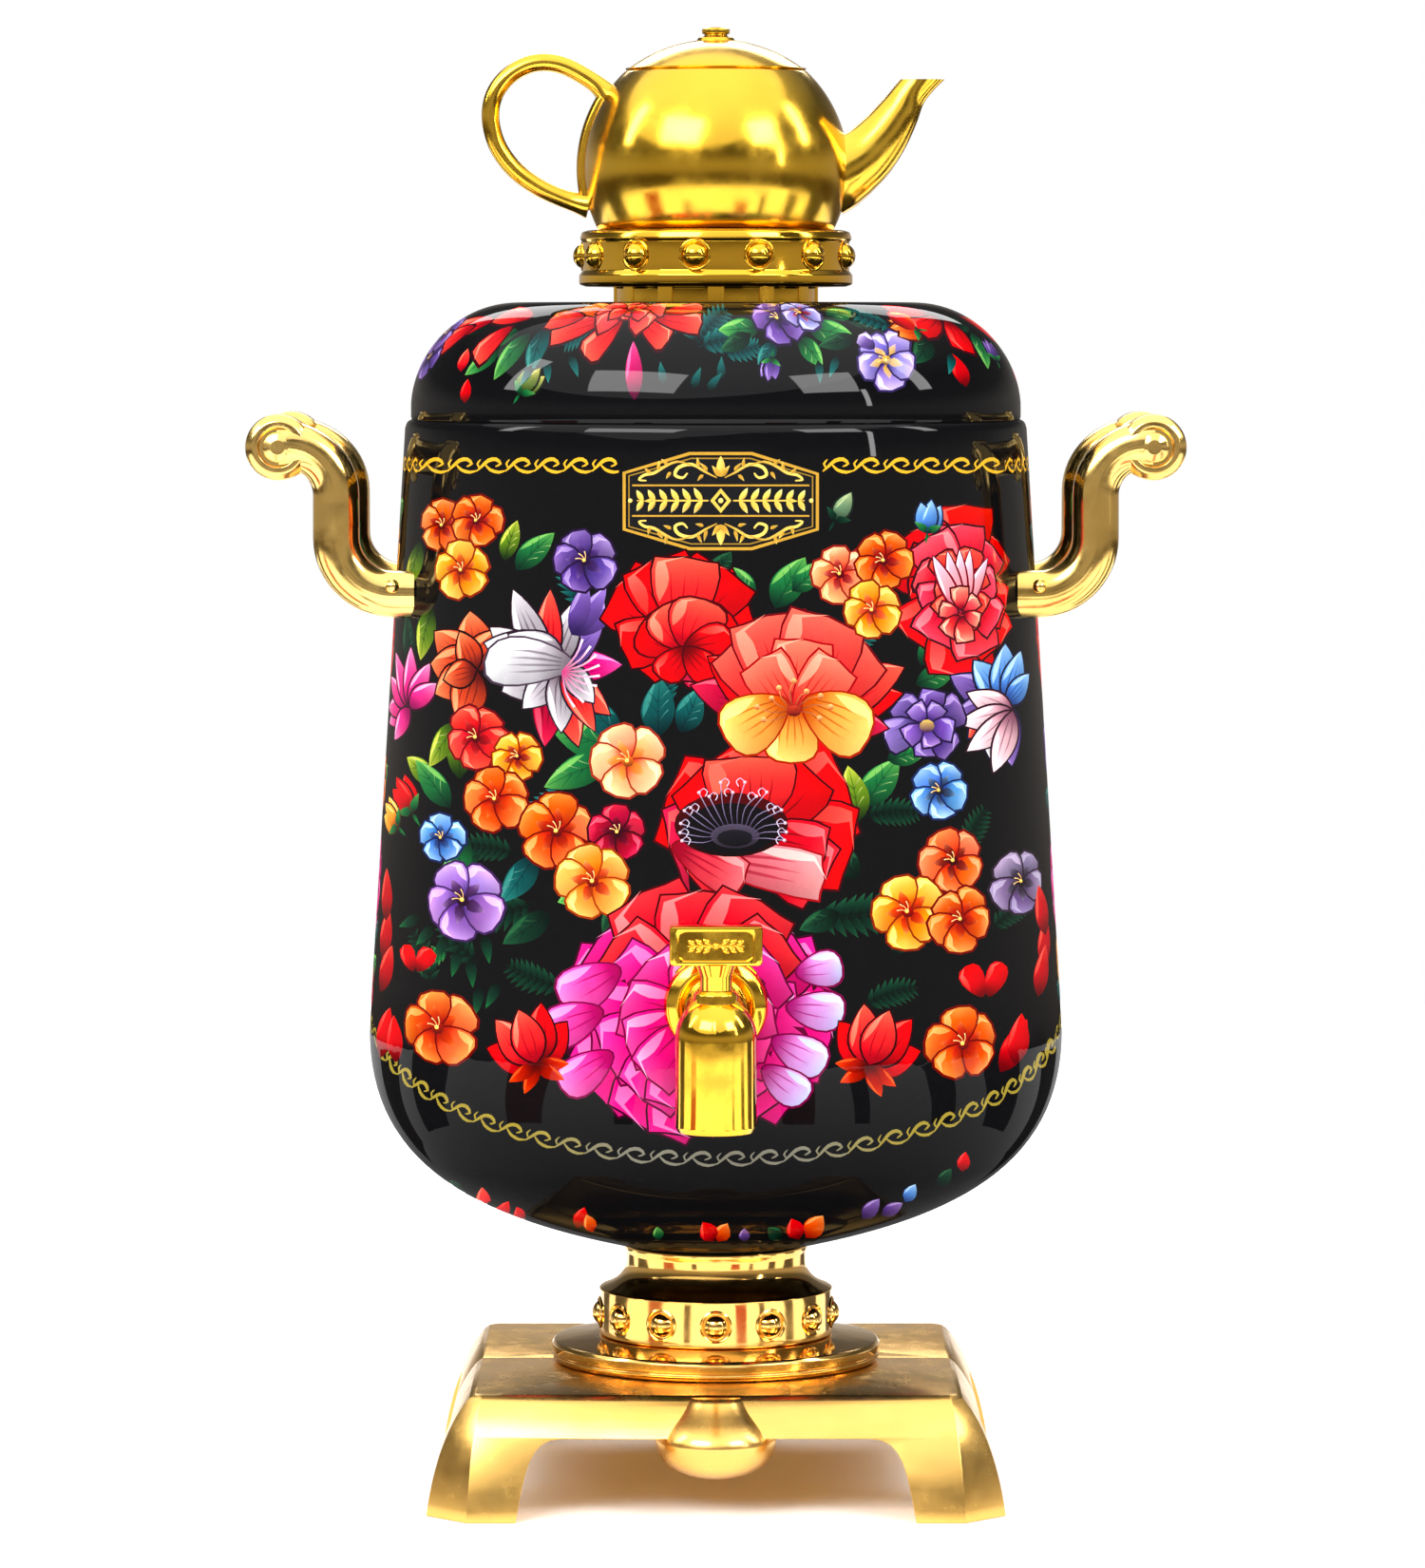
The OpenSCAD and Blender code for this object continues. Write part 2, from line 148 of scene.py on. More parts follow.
def gold(name, c_low, c_high, rough=(0.07, 0.16), wave=0.12):
    """Vacuum-metallised plastic: mirror-like, with the slow waves of a moulded skin and fine dust."""
    m, nt, b = mat(name)
    b.inputs["Metallic"].default_value = 1.0
    b.inputs["IOR"].default_value = 1.5
    n1 = noise(nt, 38, 3, 0.5)
    r = ramp(nt, n1.outputs["Fac"], [(0.3, c_low), (0.7, c_high)])
    nt.links.new(r.outputs["Color"], b.inputs["Base Color"])
    n2 = noise(nt, 240, 5, 0.6)
    rr = remap(nt, n2.outputs["Fac"], 0.35, 0.7, rough[0], rough[1])
    nt.links.new(rr.outputs["Result"], b.inputs["Roughness"])
    n3 = noise(nt, 75, 2, 0.4)
    n4 = noise(nt, 2400, 3, 0.6)
    add = nt.nodes.new("ShaderNodeMath")
    add.operation = "MULTIPLY_ADD"
    nt.links.new(n4.outputs["Fac"], add.inputs[0])
    add.inputs[1].default_value = 0.012
    nt.links.new(n3.outputs["Fac"], add.inputs[2])
    bp = nt.nodes.new("ShaderNodeBump")
    bp.inputs["Strength"].default_value = wave
    bp.inputs["Distance"].default_value = 0.0012
    nt.links.new(add.outputs[0], bp.inputs["Height"])
    nt.links.new(bp.outputs["Normal"], b.inputs["Normal"])
    return m


GOLD = gold("gold_metallised", (0.78, 0.42, 0.03), (0.90, 0.54, 0.055), wave=0.10)
GOLD_POT = gold("gold_metallised_satin", (0.74, 0.43, 0.035), (0.86, 0.54, 0.06), rough=(0.13, 0.24), wave=0.05)
PALE = gold("pale_gold_metallised", (0.84, 0.48, 0.115), (0.93, 0.59, 0.18), wave=0.12)
HANDLE = gold("pale_gold_cast", (0.84, 0.54, 0.14), (0.93, 0.64, 0.21), rough=(0.12, 0.24), wave=0.38)
BASE = gold("pale_gold_satin", (0.80, 0.45, 0.10), (0.92, 0.57, 0.16), rough=(0.22, 0.29), wave=0.08)


def steel():
    m, nt, b = mat("zinc_steel")
    b.inputs["Metallic"].default_value = 1.0
    n = noise(nt, 900, 4, 0.6, vec_scale=(1, 1, 6))
    r = ramp(nt, n.outputs["Fac"], [(0.3, (0.42, 0.43, 0.45)), (0.7, (0.62, 0.62, 0.62))])
    nt.links.new(r.outputs["Color"], b.inputs["Base Color"])
    rr = remap(nt, n.outputs["Fac"], 0.3, 0.7, 0.25, 0.42)
    nt.links.new(rr.outputs["Result"], b.inputs["Roughness"])
    return m


STEEL = steel()


def tinplate():
    m, nt, b = mat("plain_tinplate")
    b.inputs["Metallic"].default_value = 1.0
    n = noise(nt, 160, 4, 0.6, vec_scale=(1, 1, 5))
    r = ramp(nt, n.outputs["Fac"], [(0.3, (0.50, 0.50, 0.50)), (0.7, (0.66, 0.66, 0.64))])
    nt.links.new(r.outputs["Color"], b.inputs["Base Color"])
    rr = remap(nt, n.outputs["Fac"], 0.3, 0.7, 0.2, 0.34)
    nt.links.new(rr.outputs["Result"], b.inputs["Roughness"])
    return m


TINPLATE = tinplate()


def lacquer():
    """Printed and varnished tin: the painting is held in the mesh's colours, under a clear coat."""
    m, nt, b = mat("painted_lacquer")
    at = nt.nodes.new("ShaderNodeAttribute")
    at.attribute_name = "paint"
    n = noise(nt, 420, 4, 0.65)
    v = remap(nt, n.outputs["Fac"], 0.3, 0.7, 0.76, 0.88)
    hsv = nt.nodes.new("ShaderNodeHueSaturation")
    nt.links.new(at.outputs["Color"], hsv.inputs["Color"])
    nt.links.new(v.outputs["Result"], hsv.inputs["Value"])
    hsv.inputs["Saturation"].default_value = 1.02
    nt.links.new(hsv.outputs["Color"], b.inputs["Base Color"])
    rr = remap(nt, n.outputs["Fac"], 0.3, 0.7, 0.22, 0.32)
    nt.links.new(rr.outputs["Result"], b.inputs["Roughness"])
    b.inputs["Specular IOR Level"].default_value = 0.0
    # painted shade: the clear coat thins from z 85 mm down to 55 mm, so the bowl shows less reflection and reads
    # darker; this stands in for the lighting and is not a change the real varnish has
    tc = nt.nodes.new("ShaderNodeTexCoord")
    sep = nt.nodes.new("ShaderNodeSeparateXYZ")
    nt.links.new(tc.outputs["Object"], sep.inputs[0])
    cw = remap(nt, sep.outputs["Z"], 0.055, 0.085, 0.05, 0.34)
    nt.links.new(cw.outputs["Result"], b.inputs["Coat Weight"])
    b.inputs["Coat Roughness"].default_value = 0.03
    n3 = noise(nt, 30, 2, 0.4)
    bp = nt.nodes.new("ShaderNodeBump")
    bp.inputs["Strength"].default_value = 0.05
    bp.inputs["Distance"].default_value = 0.001
    nt.links.new(n3.outputs["Fac"], bp.inputs["Height"])
    nt.links.new(bp.outputs["Normal"], b.inputs["Coat Normal"])
    return m


LACQUER = lacquer()


# ------------------------------------------------------------------ mesh helpers
def finish_mesh(name, verts, faces, material, body, nodes, sharp=40):
    me = bpy.data.meshes.new(name)
    me.from_pydata([tuple(v) for v in verts], [], [tuple(int(i) for i in f) for f in faces])
    bm = bmesh.new()
    bm.from_mesh(me)
    bmesh.ops.remove_doubles(bm, verts=bm.verts, dist=1e-7)
    bmesh.ops.recalc_face_normals(bm, faces=bm.faces)
    bm.to_mesh(me)
    bm.free()
    me.validate()
    ob = bpy.data.objects.new(name, me)
    scene.collection.objects.link(ob)
    place(ob, material, body, nodes, sharp)
    return ob


def place(ob, material, body, nodes, sharp=40):
    ob.data.materials.clear()
    ob.data.materials.append(material)
    ob.data.shade_smooth()
    if sharp:
        ob.data.set_sharp_from_angle(angle=math.radians(sharp))
    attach(ob, body)
    if nodes:
        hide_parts(*nodes)


def rounded(poly, closed=True):
    """Profile given as (r, z) or (r, z, fillet radius): every corner with a radius becomes an arc."""
    out = []
    n = len(poly)
    for i, p in enumerate(poly):
        rad = p[2] if len(p) > 2 else 0
        if not rad or (not closed and i in (0, n - 1)):
            out.append((p[0], p[1]))
            continue
        a = np.array(poly[i - 1][:2], float)
        b = np.array(p[:2], float)
        c = np.array(poly[(i + 1) % n][:2], float)
        u = (a - b) / np.linalg.norm(a - b)
        v = (c - b) / np.linalg.norm(c - b)
        ang = math.acos(max(-1, min(1, float(u @ v))))
        d = min(rad / math.tan(ang / 2), 0.49 * np.linalg.norm(a - b), 0.49 * np.linalg.norm(c - b))
        for k in range(6):
            t = k / 5
            q = (1 - t) ** 2 * (b + u * d) + 2 * (1 - t) * t * b + t * t * (b + v * d)
            out.append((float(q[0]), float(q[1])))
    return out


def lathe_data(profile, seg=160, mat3=None, sector=None):
    """Closed ring of revolution about Z from a closed profile in mm; a point on the axis is kept single."""
    verts, faces, rows = [], [], []
    for r, z in profile:
        if r < 1e-6:
            rows.append([len(verts)] * seg)
            verts.append((0, 0, z))
        else:
            rows.append(list(range(len(verts), len(verts) + seg)))
            for j in range(seg):
                a = 2 * math.pi * j / seg
                verts.append((r * math.cos(a), r * math.sin(a), z))
    n = len(rows)
    for i in range(n):
        p, q = rows[i], rows[(i + 1) % n]
        if p[0] == p[1] and q[0] == q[1]:
            continue
        for j in range(seg):
            k = (j + 1) % seg
            f = [p[j], p[k], q[k], q[j]]
            g = []
            for x in f:
                if x not in g:
                    g.append(x)
            if len(g) > 2:
                faces.append(g)
    v = np.array(verts, float)
    if mat3 is not None:
        v = v @ np.array(mat3, float).T
    return v, faces


def join_data(parts):
    vs, fs, off = [], [], 0
    for v, f in parts:
        vs.append(np.asarray(v, float))
        fs.extend([[i + off for i in face] for face in f])
        off += len(v)
    return np.concatenate(vs), fs


def ball(c, r, nu=28, nv=16):
    prof = [(r * math.sin(math.pi * i / nv) if 0 < i < nv else 0, r * math.cos(math.pi * i / nv)) for i in range(nv + 1)]
    verts, faces, rows = [], [], []
    for rr, z in prof:
        if rr == 0:
            rows.append([len(verts)] * nu)
            verts.append((0, 0, z))
        else:
            rows.append(list(range(len(verts), len(verts) + nu)))
            verts += [(rr * math.cos(2 * math.pi * j / nu), rr * math.sin(2 * math.pi * j / nu), z) for j in range(nu)]
    for i in range(nv):
        p, q = rows[i], rows[i + 1]
        for j in range(nu):
            k = (j + 1) % nu
            g = []
            for x in (p[j], p[k], q[k], q[j]):
                if x not in g:
                    g.append(x)
            if len(g) > 2:
                faces.append(g)
    return np.array(verts) + np.array(c, float), faces


def spline(pts, k):
    p = [np.array(q, float) for q in pts]
    out = []
    n = len(p)
    for i in range(n - 1):
        a, b, c, d = p[max(i - 1, 0)], p[i], p[i + 1], p[min(i + 2, n - 1)]
        for j in range(k):
            t = j / k
            out.append(0.5 * (2 * b + (c - a) * t + (2 * a - 5 * b + 4 * c - d) * t * t + (3 * b - a - 3 * c + d) * t ** 3))
    out.append(p[-1])
    return np.array(out)


def tube(path, radii, sides=32, flat=1.0, shape=None):
    """Closed tube along a path in the XZ plane (3-D points); flat scales it across the plane."""
    path = np.asarray(path, float)
    n = len(path)
    verts, faces = [], []
    for i in range(n):
        a, b = path[max(i - 1, 0)], path[min(i + 1, n - 1)]
        d = (b - a) / np.linalg.norm(b - a)
        side = np.array([0, 1.0, 0])
        up = np.cross(side, d)
        up /= np.linalg.norm(up)
        for j in range(sides):
            w = 2 * math.pi * j / sides
            s = shape(w) if shape else 1.0
            verts.append(path[i] + radii[i] * s * (math.cos(w) * up + flat * math.sin(w) * side))
    for i in range(n - 1):
        for j in range(sides):
            k = (j + 1) % sides
            faces.append([i * sides + j, i * sides + k, (i + 1) * sides + k, (i + 1) * sides + j])
    faces.append(list(range(sides))[::-1])
    faces.append([(n - 1) * sides + j for j in range(sides)])
    return np.array(verts), faces


def bez(a, b, c, d, n):
    a, b, c, d = (np.array(q, float) for q in (a, b, c, d))
    out = []
    for i in range(n + 1):
        t = i / n
        u = 1 - t
        out.append(u ** 3 * a + 3 * u * u * t * b + 3 * u * t * t * c + t ** 3 * d)
    return [tuple(q) for q in out]


def S(v):
    return np.asarray(v, float) * MM


def refine(node, material, bevel=0.4, segs=3, name=None, angle=32):
    """A CAD node's own shape with its edges broken by a small round, as a moulding has them."""
    src = frame["nodes"][node]
    me = src.data.copy()
    bm = bmesh.new()
    bm.from_mesh(me)
    bmesh.ops.remove_doubles(bm, verts=bm.verts, dist=2e-6)
    bmesh.ops.dissolve_limit(bm, angle_limit=math.radians(1.0), verts=bm.verts, edges=bm.edges)
    bm.to_mesh(me)
    bm.free()
    ob = bpy.data.objects.new(name or node + "_fine", me)
    scene.collection.objects.link(ob)
    md = ob.modifiers.new("edge", "BEVEL")
    md.width = bevel * MM
    md.segments = segs
    md.limit_method = "ANGLE"
    md.angle_limit = math.radians(angle)
    md.use_clamp_overlap = True
    md.harden_normals = False
    dg = bpy.context.evaluated_depsgraph_get()
    out = bpy.data.meshes.new_from_object(ob.evaluated_get(dg))
    ob.modifiers.clear()
    ob.data = out
    place(ob, material, body_of(src)[0], [node], 30)
    return ob


# ------------------------------------------------------------------ crown and teapot
def rot_y_axis():
    """Turns a lathe about Z into one about -Y (front)."""
    return [[1, 0, 0], [0, 0, -1], [0, 1, 0]]


def stud(c, r, out, ring=True):
    """Half ball pushed out of a wall along a horizontal direction, with a fine ring at its foot."""
    v, f = ball((0, 0, 0), r)
    v = v + np.array(c)
    parts = [(v, f)]
    if ring:
        prof = [(r + 0.45, -0.5), (r + 0.45, 0.02), (r + 0.28, 0.14), (r + 0.06, 0.1), (r - 0.1, -0.1), (r - 0.1, -0.5)]
        d = np.array(out, float)
        up = np.array([0, 0, 1.0])
        side = np.cross(up, d)
        m = np.stack([side, up, d], axis=1)
        w, g = lathe_data(prof, 32, m)
        parts.append((w, g))
    return parts


def crown():
    z = 198.0
    prof = rounded([(2, z + 2.6), (15.4, z + 2.6), (15.4, z + 0.02), (16.75, z + 0.02), (16.75, z + 2.5, 0.3),
                    (21.8, z + 2.62, 0.3), (22.9, z + 3.0, 0.45), (22.9, z + 4.5, 0.5), (22.35, z + 5.25, 0.35),
                    (22.3, z + 7.6, 0), (22.35, z + 10.0, 0.3), (22.75, z + 10.6, 0.35), (22.45, z + 11.7, 0.6),
                    (21.3, z + 12.05, 0.5), (20.45, z + 11.5, 0.4), (20.45, z + 4.2, 0.3), (2, z + 4.2)])
    parts = [lathe_data(prof, 192)]
    for i in range(13):
        a = math.radians(-99 + i * 360 / 13)
        d = (math.cos(a), math.sin(a), 0)
        c = np.array([d[0] * 21.75, d[1] * 21.75, z + 7.75])
        parts.append(ball(c, 2.2))
        ring = [(2.65, 0.40), (2.65, 0.66), (2.45, 0.78), (2.2, 0.7), (2.0, 0.4)]
        m = np.stack([np.cross([0, 0, 1.0], d), np.array([0, 0, 1.0]), np.array(d)], axis=1)
        w, g = lathe_data(ring, 32, m)
        parts.append((w + c, g))
    for i in range(12):
        a = math.radians(i * 30)
        m = np.array([[math.cos(a), -math.sin(a), 0], [math.sin(a), math.cos(a), 0], [0, 0, 1]])
        pr = rounded([(-1.5, 15.9), (1.5, 15.9), (1.35, 17.1, 0.35), (-1.35, 17.1, 0.35)])
        vs = [(x, y, zz) for zz in (z + 0.03, z + 2.75) for y, x in [(p[0], p[1]) for p in pr]]
        k = len(pr)
        fs = [[j, (j + 1) % k, k + (j + 1) % k, k + j] for j in range(k)] + [list(range(k))[::-1], [k + j for j in range(k)]]
        parts.append((np.array(vs) @ m.T, fs))
    v, f = join_data(parts)
    finish_mesh("crown_ring_fine", S(v), f, GOLD, "lid", ["crown_ring"], 50)


crown()
POT_Z = 220.3
POT_R = 22.2


def teapot():
    top = POT_Z + 16.3
    prof = [(9.2, 202.25), (10.8, 202.25), (11, 202.5), (11, 203.1), (11.4, 203.22), (13.2, 203.25)]
    a0 = math.asin((203.4 - POT_Z) / POT_R)
    a1 = math.asin((top - 0.25 - POT_Z) / POT_R)
    for i in range(97):
        a = a0 + (a1 - a0) * i / 96
        prof.append((POT_R * math.cos(a), POT_Z + POT_R * math.sin(a)))
    prof += [(14.95, top), (13.0, top)]
    for i in range(33):
        a = a1 + (a0 - a1) * i / 32
        prof.append(((POT_R - 1.3) * math.cos(a) * 0.985, POT_Z + (POT_R - 1.3) * math.sin(a) * 0.98))
    prof += [(9.2, 204.4), (0, 204.4), (0, 203.0), (9.0, 203.0)]
    v, f = lathe_data(prof, 192)
    finish_mesh("teapot_body_fine", S(v), f, GOLD_POT, "teapot", ["teapot_body"], 45)
    # cap with its knob
    R = 24.4
    cz = top + 5.2 - R
    prof = [(11.4, top - 1.6), (12.6, top - 1.6), (12.6, top), (14.7, top), (15.0, top + 0.12), (15.12, top + 0.35)]
    b0 = math.acos(15.0 / R)
    b1 = math.radians(82.5)
    for i in range(1, 41):
        a = b0 + (b1 - b0) * i / 40
        prof.append((R * math.cos(a), cz + R * math.sin(a)))
    prof += rounded([(3.2, top + 5.02), (2.9, top + 5.5, 0.2), (2.0, top + 5.7, 0.15), (1.85, top + 6.0, 0.1),
                     (2.3, top + 6.2, 0.12), (2.35, top + 6.9, 0.2), (1.7, top + 7.2, 0.15), (0, top + 7.25)], closed=False)
    prof += [(0, top + 3.9)]
    for i in range(12):
        a = b1 + (b0 - b1) * (i + 1) / 12
        prof.append(((R - 1.3) * math.cos(a) * 0.9, cz + (R - 1.3) * math.sin(a)))
    v, f = lathe_data(prof, 160)
    finish_mesh("teapot_cap_fine", S(v), f, GOLD_POT, "teapot_lid", ["teapot_cap"], 45)
    # handle: slim loop with a strip along the pot
    loop = spline([(-17.6, 0, 11.8), (-20.4, 0, 14.4), (-25.6, 0, 17.2), (-30.2, 0, 17.6), (-34.2, 0, 15.8),
                   (-36.9, 0, 12.6), (-37.7, 0, 8.6), (-36.6, 0, 4), (-33.8, 0, 0), (-29.8, 0, -3),
                   (-25.4, 0, -5), (-21.2, 0, -6.1)], 8)
    n = len(loop)
    rad = [1.42 + 0.55 * math.exp(-(i / 5.0) ** 2) + 0.7 * math.exp(-((n - 1 - i) / 4.5) ** 2) for i in range(n)]
    parts = [tube(loop + np.array([0, 0, POT_Z]), rad, 28, 1.1, lambda w: 1 + 0.05 * math.cos(2 * w))]
    vs, fs = [], []
    pr = rounded([(POT_R - 0.5, -1.6), (POT_R + 0.55, -1.5, 0.4), (POT_R + 1.1, -0.5, 0.4), (POT_R + 1.1, 0.5, 0.4),
                  (POT_R + 0.55, 1.5, 0.4), (POT_R - 0.5, 1.6)])
    m = 48
    for i in range(m + 1):
        a = math.radians(144 + 54 * i / m)
        for r, y in pr:
            vs.append((r * math.cos(a), y, POT_Z + r * math.sin(a)))
    k = len(pr)
    for i in range(m):
        for j in range(k):
            fs.append([i * k + j, i * k + (j + 1) % k, (i + 1) * k + (j + 1) % k, (i + 1) * k + j])
    fs += [list(range(k)), [m * k + j for j in range(k)][::-1]]
    parts.append((np.array(vs), fs))
    v, f = join_data(parts)
    finish_mesh("teapot_handle_fine", S(v), f, GOLD_POT, "teapot", ["teapot_handle"], 45)
    # spout
    p = spline([(18.0, 6.2, -2.3), (20.4, 6.2, -0.8), (22.6, 5.7, 0.5), (25.2, 5.0, 2.4), (28.0, 4.3, 5.5), (30.4, 3.55, 9.0),
                (32.3, 2.85, 12.2), (34.3, 2.7, 14.7), (36.9, 2.8, 17.4)], 7)
    path = np.stack([p[:, 0], np.zeros(len(p)), p[:, 2] + POT_Z], 1)
    v, f = tube(path, list(p[:, 1]), 40, 0.82)
    cut = POT_Z + 14.85
    ob = finish_mesh("teapot_spout_fine", S(v), f, GOLD_POT, "teapot", ["teapot_spout"], 60)
    bm = bmesh.new()
    bm.from_mesh(ob.data)
    gone = bmesh.ops.bisect_plane(bm, geom=bm.verts[:] + bm.edges[:] + bm.faces[:], dist=1e-7, plane_co=(0, 0, cut * MM),
                                  plane_no=(0, 0, 1), clear_outer=True)["geom_cut"]
    geo = bmesh.ops.edgeloop_fill(bm, edges=[x for x in gone if isinstance(x, bmesh.types.BMEdge)])["faces"]
    r = bmesh.ops.inset_region(bm, faces=geo, thickness=0.0005, depth=0)
    ex = bmesh.ops.extrude_face_region(bm, geom=geo)
    down = [x for x in ex["geom"] if isinstance(x, bmesh.types.BMVert)]
    bmesh.ops.translate(bm, vec=Vector((-0.0013, 0, -0.0015)), verts=down)
    bmesh.ops.delete(bm, geom=geo, context="FACES_ONLY")
    bmesh.ops.remove_doubles(bm, verts=bm.verts, dist=1e-6)
    bmesh.ops.recalc_face_normals(bm, faces=bm.faces)
    bm.to_mesh(ob.data)
    bm.free()
    ob.data.shade_smooth()
    ob.data.set_sharp_from_angle(angle=math.radians(42))


teapot()


# ------------------------------------------------------------------ side handles
def arms():
    """S arms with a mould line along both faces, an eye at the end, and the grip bar."""
    pts = [(-72.2, 174.1), (-70.6, 174.2)]
    pts += [(-70.8 + 8 * math.sin(a), 166.2 + 8 * math.cos(a)) for a in np.radians(np.arange(6, 91, 6))]
    pts += [(-62.8, z) for z in (164.6, 162.9, 161.2)]
    pts += [(-53.4 - 9.4 * math.cos(a), 159.2 - 9.4 * math.sin(a)) for a in np.radians(np.arange(0, 91, 6))]
    pts += [(-52.2, 149.8), (-51.0, 149.8), (-49.8, 149.8)]
    path = np.array([(x, 0, z) for x, z in pts])
    n = len(path)
    rad = []
    for i, (x, z) in enumerate(pts):
        t = i / (n - 1)
        rad.append(3.78 + 0.55 * math.exp(-(i / 5.0) ** 2) + 0.22 * t)
    def sect(w):
        c, s = abs(math.cos(w)), abs(math.sin(w))
        base = (c ** 2.5 + s ** 2.5) ** (-1 / 2.5)
        d = (w % math.pi) - math.pi / 2
        return base * 0.985 + 0.016 * math.exp(-(d / 0.05) ** 2)
    for sx, side in ((-1, "left"), (1, "right")):
        for sy, where in ((-1, "front"), (1, "rear")):
            parts = [tube(path, rad, 72, 0.98, sect)]
            eye = rounded([(0, -3.3), (3.1, -3.3), (3.35, -3.68, 0.15), (4.3, -3.75, 0.6), (5.45, -2.6, 1.0), (5.5, 0), (5.45, 2.6, 1.0),
                           (4.3, 3.75, 0.6), (3.35, 3.68, 0.15), (3.1, 3.3), (0, 3.3)], closed=False)
            v, f = lathe_data(eye, 96, rot_y_axis())
            v = v + np.array([-72.2, 0, 174.1])
            parts.append((v, f))
            v, f = join_data(parts)
            v[:, 0] *= -sx
            v[:, 1] += sy * 17
            node = f"handle_{side}_{where}_arm"
            finish_mesh(node + "_fine", S(v), f, HANDLE, "tin", [node], 50)
        prof = rounded([(0, -21.35), (1.2, -21.35, 0.3), (2.45, -20.9, 0.4), (2.5, -20.3), (2.5, -13.25), (3.9, -13.25), (4.2, -12.6, 0.3),
                        (3.85, -8, 0), (3.8, 0), (3.85, 8, 0), (4.2, 12.6, 0.3), (3.9, 13.25), (2.5, 13.25), (2.5, 20.3),
                        (2.45, 20.9, 0.4), (1.2, 21.35, 0.3), (0, 21.35)], closed=False)
        v, f = lathe_data(prof, 72, rot_y_axis())
        v = v + np.array([sx * 72.2, 0, 174.1])
        finish_mesh(f"handle_{side}_grip_fine", S(v), f, HANDLE, "tin", [f"handle_{side}_grip"], 50)
    parts = [ball((sx * 53.4, sy * 20.35, 151.2), 1.2) for sx in (-1, 1) for sy in (-1, 1)]
    v, f = join_data(parts)
    finish_mesh("handle_rivets_fine", S(v), f, HANDLE, "tin", ["handle_rivets"], 60)


arms()


# ------------------------------------------------------------------ tap
TAP_Y = -66.7
TAP_Z = 85.3


